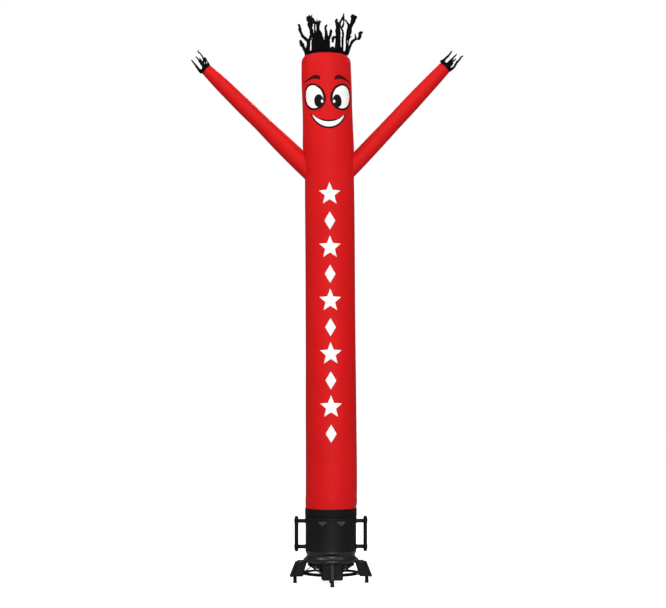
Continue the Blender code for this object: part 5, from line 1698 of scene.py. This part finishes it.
def make_legs():
    """The four legs, each with its rubber foot."""
    for name, angle in LEG_ANGLES:
        leg = eased(f"leg_{name}", LEG, edge=MOULDED_EDGE)
        mark_rib(leg, angle)
        foot = lathe(f"foot_{name}_moulding", FOOT_PROFILE, RUBBER, edge=FOOT_EDGE,
                     steps=40, centre=on_blower(FOOT_REACH, angle))
        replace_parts(foot, f"foot_{name}")


def make_guard():
    """The intake's guard: rings of one moulding, with flat ribs across them."""
    pieces = []
    for number, (outer, high, inner, low) in enumerate((*GUARD_RINGS, GUARD_WALL_RING), start=1):
        upright = inner > outer - GUARD_UPRIGHT
        inwards, down = (GUARD_WALL, 0.0) if upright else (0.0, GUARD_WALL)
        profile = ((outer, high), (inner, low),
                   (inner - inwards, low - down), (outer - inwards, high - down))
        pieces.append(lathe(f"guard_ring_{number}", profile, GUARD,
                            edge=RING_EDGE, steps=96))
    line = [(r, 0.0, z - GUARD_WALL / 2) for r, z in GUARD_RIB_LINE]
    turn = Matrix.Rotation(math.radians(GUARD_TURN + BLOWER_TURN), 4, "Z")
    pieces.append(grown("guard_ribs", lines_mesh("guard_ribs", [line]), make_spoke_tree(),
                        GUARD_RIBS, GUARD,
                        place=Matrix.Translation((AXIS_X, 0.0, 0.0)) @ turn))
    for piece in pieces:
        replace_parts(piece, "intake_guard")


# ----------------------------------------------------------------- screws
SCREW_RADIUS = 0.0042
SCREW_HEIGHT = 0.0026
SCREW_COLUMNS = 16
PAD_FACE = 0.2390         # how far out a bracket's pad ends
PAD_SCREW_SIDE = 0.0215
BRACKET_HEIGHTS = (0.5710, 0.3350)
LEG_SCREWS = ((0.2860, -0.056), (0.2860, 0.056))     # (out, across) on each leg's top
LEG_TOP = 0.2030


def screw_head():
    """A round screw head, low and domed, standing on its own origin."""
    bm = bmesh.new()
    profile = ((0.0, SCREW_HEIGHT), (0.45, SCREW_HEIGHT * 0.97), (0.80, SCREW_HEIGHT * 0.70),
               (1.0, SCREW_HEIGHT * 0.25), (1.0, 0.0))
    angles = [2 * math.pi * k / SCREW_COLUMNS for k in range(SCREW_COLUMNS)]
    rings = [[bm.verts.new(turned(share * SCREW_RADIUS, angle, height)) for angle in angles]
             for share, height in profile]
    for upper, lower in zip(rings, rings[1:]):
        for k in range(SCREW_COLUMNS):
            m = (k + 1) % SCREW_COLUMNS
            bm.faces.new((upper[k], lower[k], lower[m], upper[m]))
    bmesh.ops.remove_doubles(bm, verts=bm.verts, dist=SAME_PLACE)
    bm.faces.new(rings[-1][::-1])
    bmesh.ops.recalc_face_normals(bm, faces=bm.faces)
    return linked("screw_head", mesh_of("screw_head", bm))


def points_mesh(name, points, facings):
    """Loose points that each know which way they face."""
    mesh = bpy.data.meshes.new(name)
    mesh.from_pydata(points, [], [])
    facing = mesh.attributes.new("facing", "FLOAT_VECTOR", "POINT")
    for k, direction in enumerate(facings):
        facing.data[k].vector = direction
    return mesh


def make_screws():
    """Screws that hold the brackets' pads and the legs' tops."""
    places = [((side * PAD_FACE, away, height), (side, 0.0, 0.0)) for side in (-1, 1)
              for height in BRACKET_HEIGHTS for away in (-PAD_SCREW_SIDE, PAD_SCREW_SIDE)]
    for _, degrees in LEG_ANGLES:
        turn = Matrix.Rotation(math.radians(degrees), 3, "Z")
        places += [(turn @ Vector((out, across, LEG_TOP)), (0.0, 0.0, 1.0))
                   for out, across in LEG_SCREWS]
    turn = Matrix.Rotation(math.radians(BLOWER_TURN), 3, "Z")
    points = [turn @ Vector(place) + Vector((AXIS_X, 0.0, 0.0)) for place, _ in places]
    facings = [turn @ Vector(facing) for _, facing in places]
    head = screw_head()
    tree = make_screw_tree()
    grown("housing_screws", points_mesh("housing_screws", points, facings), tree,
          {"Screw": head, "Size": 1.0}, ZINC, angle=40)
    bpy.data.objects.remove(head, do_unlink=True)


# ------------------------------------------------------------------- main
def flat_area(obj):
    """One side's area of a sheet, from its outer faces."""
    return sum(polygon.area for polygon in obj.data.polygons) / 2


def make_object():
    """Every piece; the sleeves' and the crown's flat areas are worked out after, but not kept."""
    body = make_body()
    sleeves, roots = [], []
    for arm in ARMS:
        sleeve, starts, angles = make_sleeve(arm)
        sleeves.append(sleeve)
        roots.append((starts, angles))
    crown = make_crown()
    prints = [*make_face(), make_marks()]
    hair = make_hair()
    fingers = [make_fingers(arm, index) for index, arm in enumerate(ARMS)]
    make_strap()
    stitches = make_stitches(roots)
    make_blower()
    make_legs()
    make_guard()
    make_screws()
    make_cord()
    for arm, sleeve, strips in zip(ARMS, sleeves, fingers):
        flat = (2 * math.pi * sleeve_radius(arm, arm.reach / 2), arm.reach)
        min(flat_area(sleeve), flat[0] * flat[1])
        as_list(strips)
    flat_area(crown)


make_camera()
make_lights()
make_floor()
make_object()
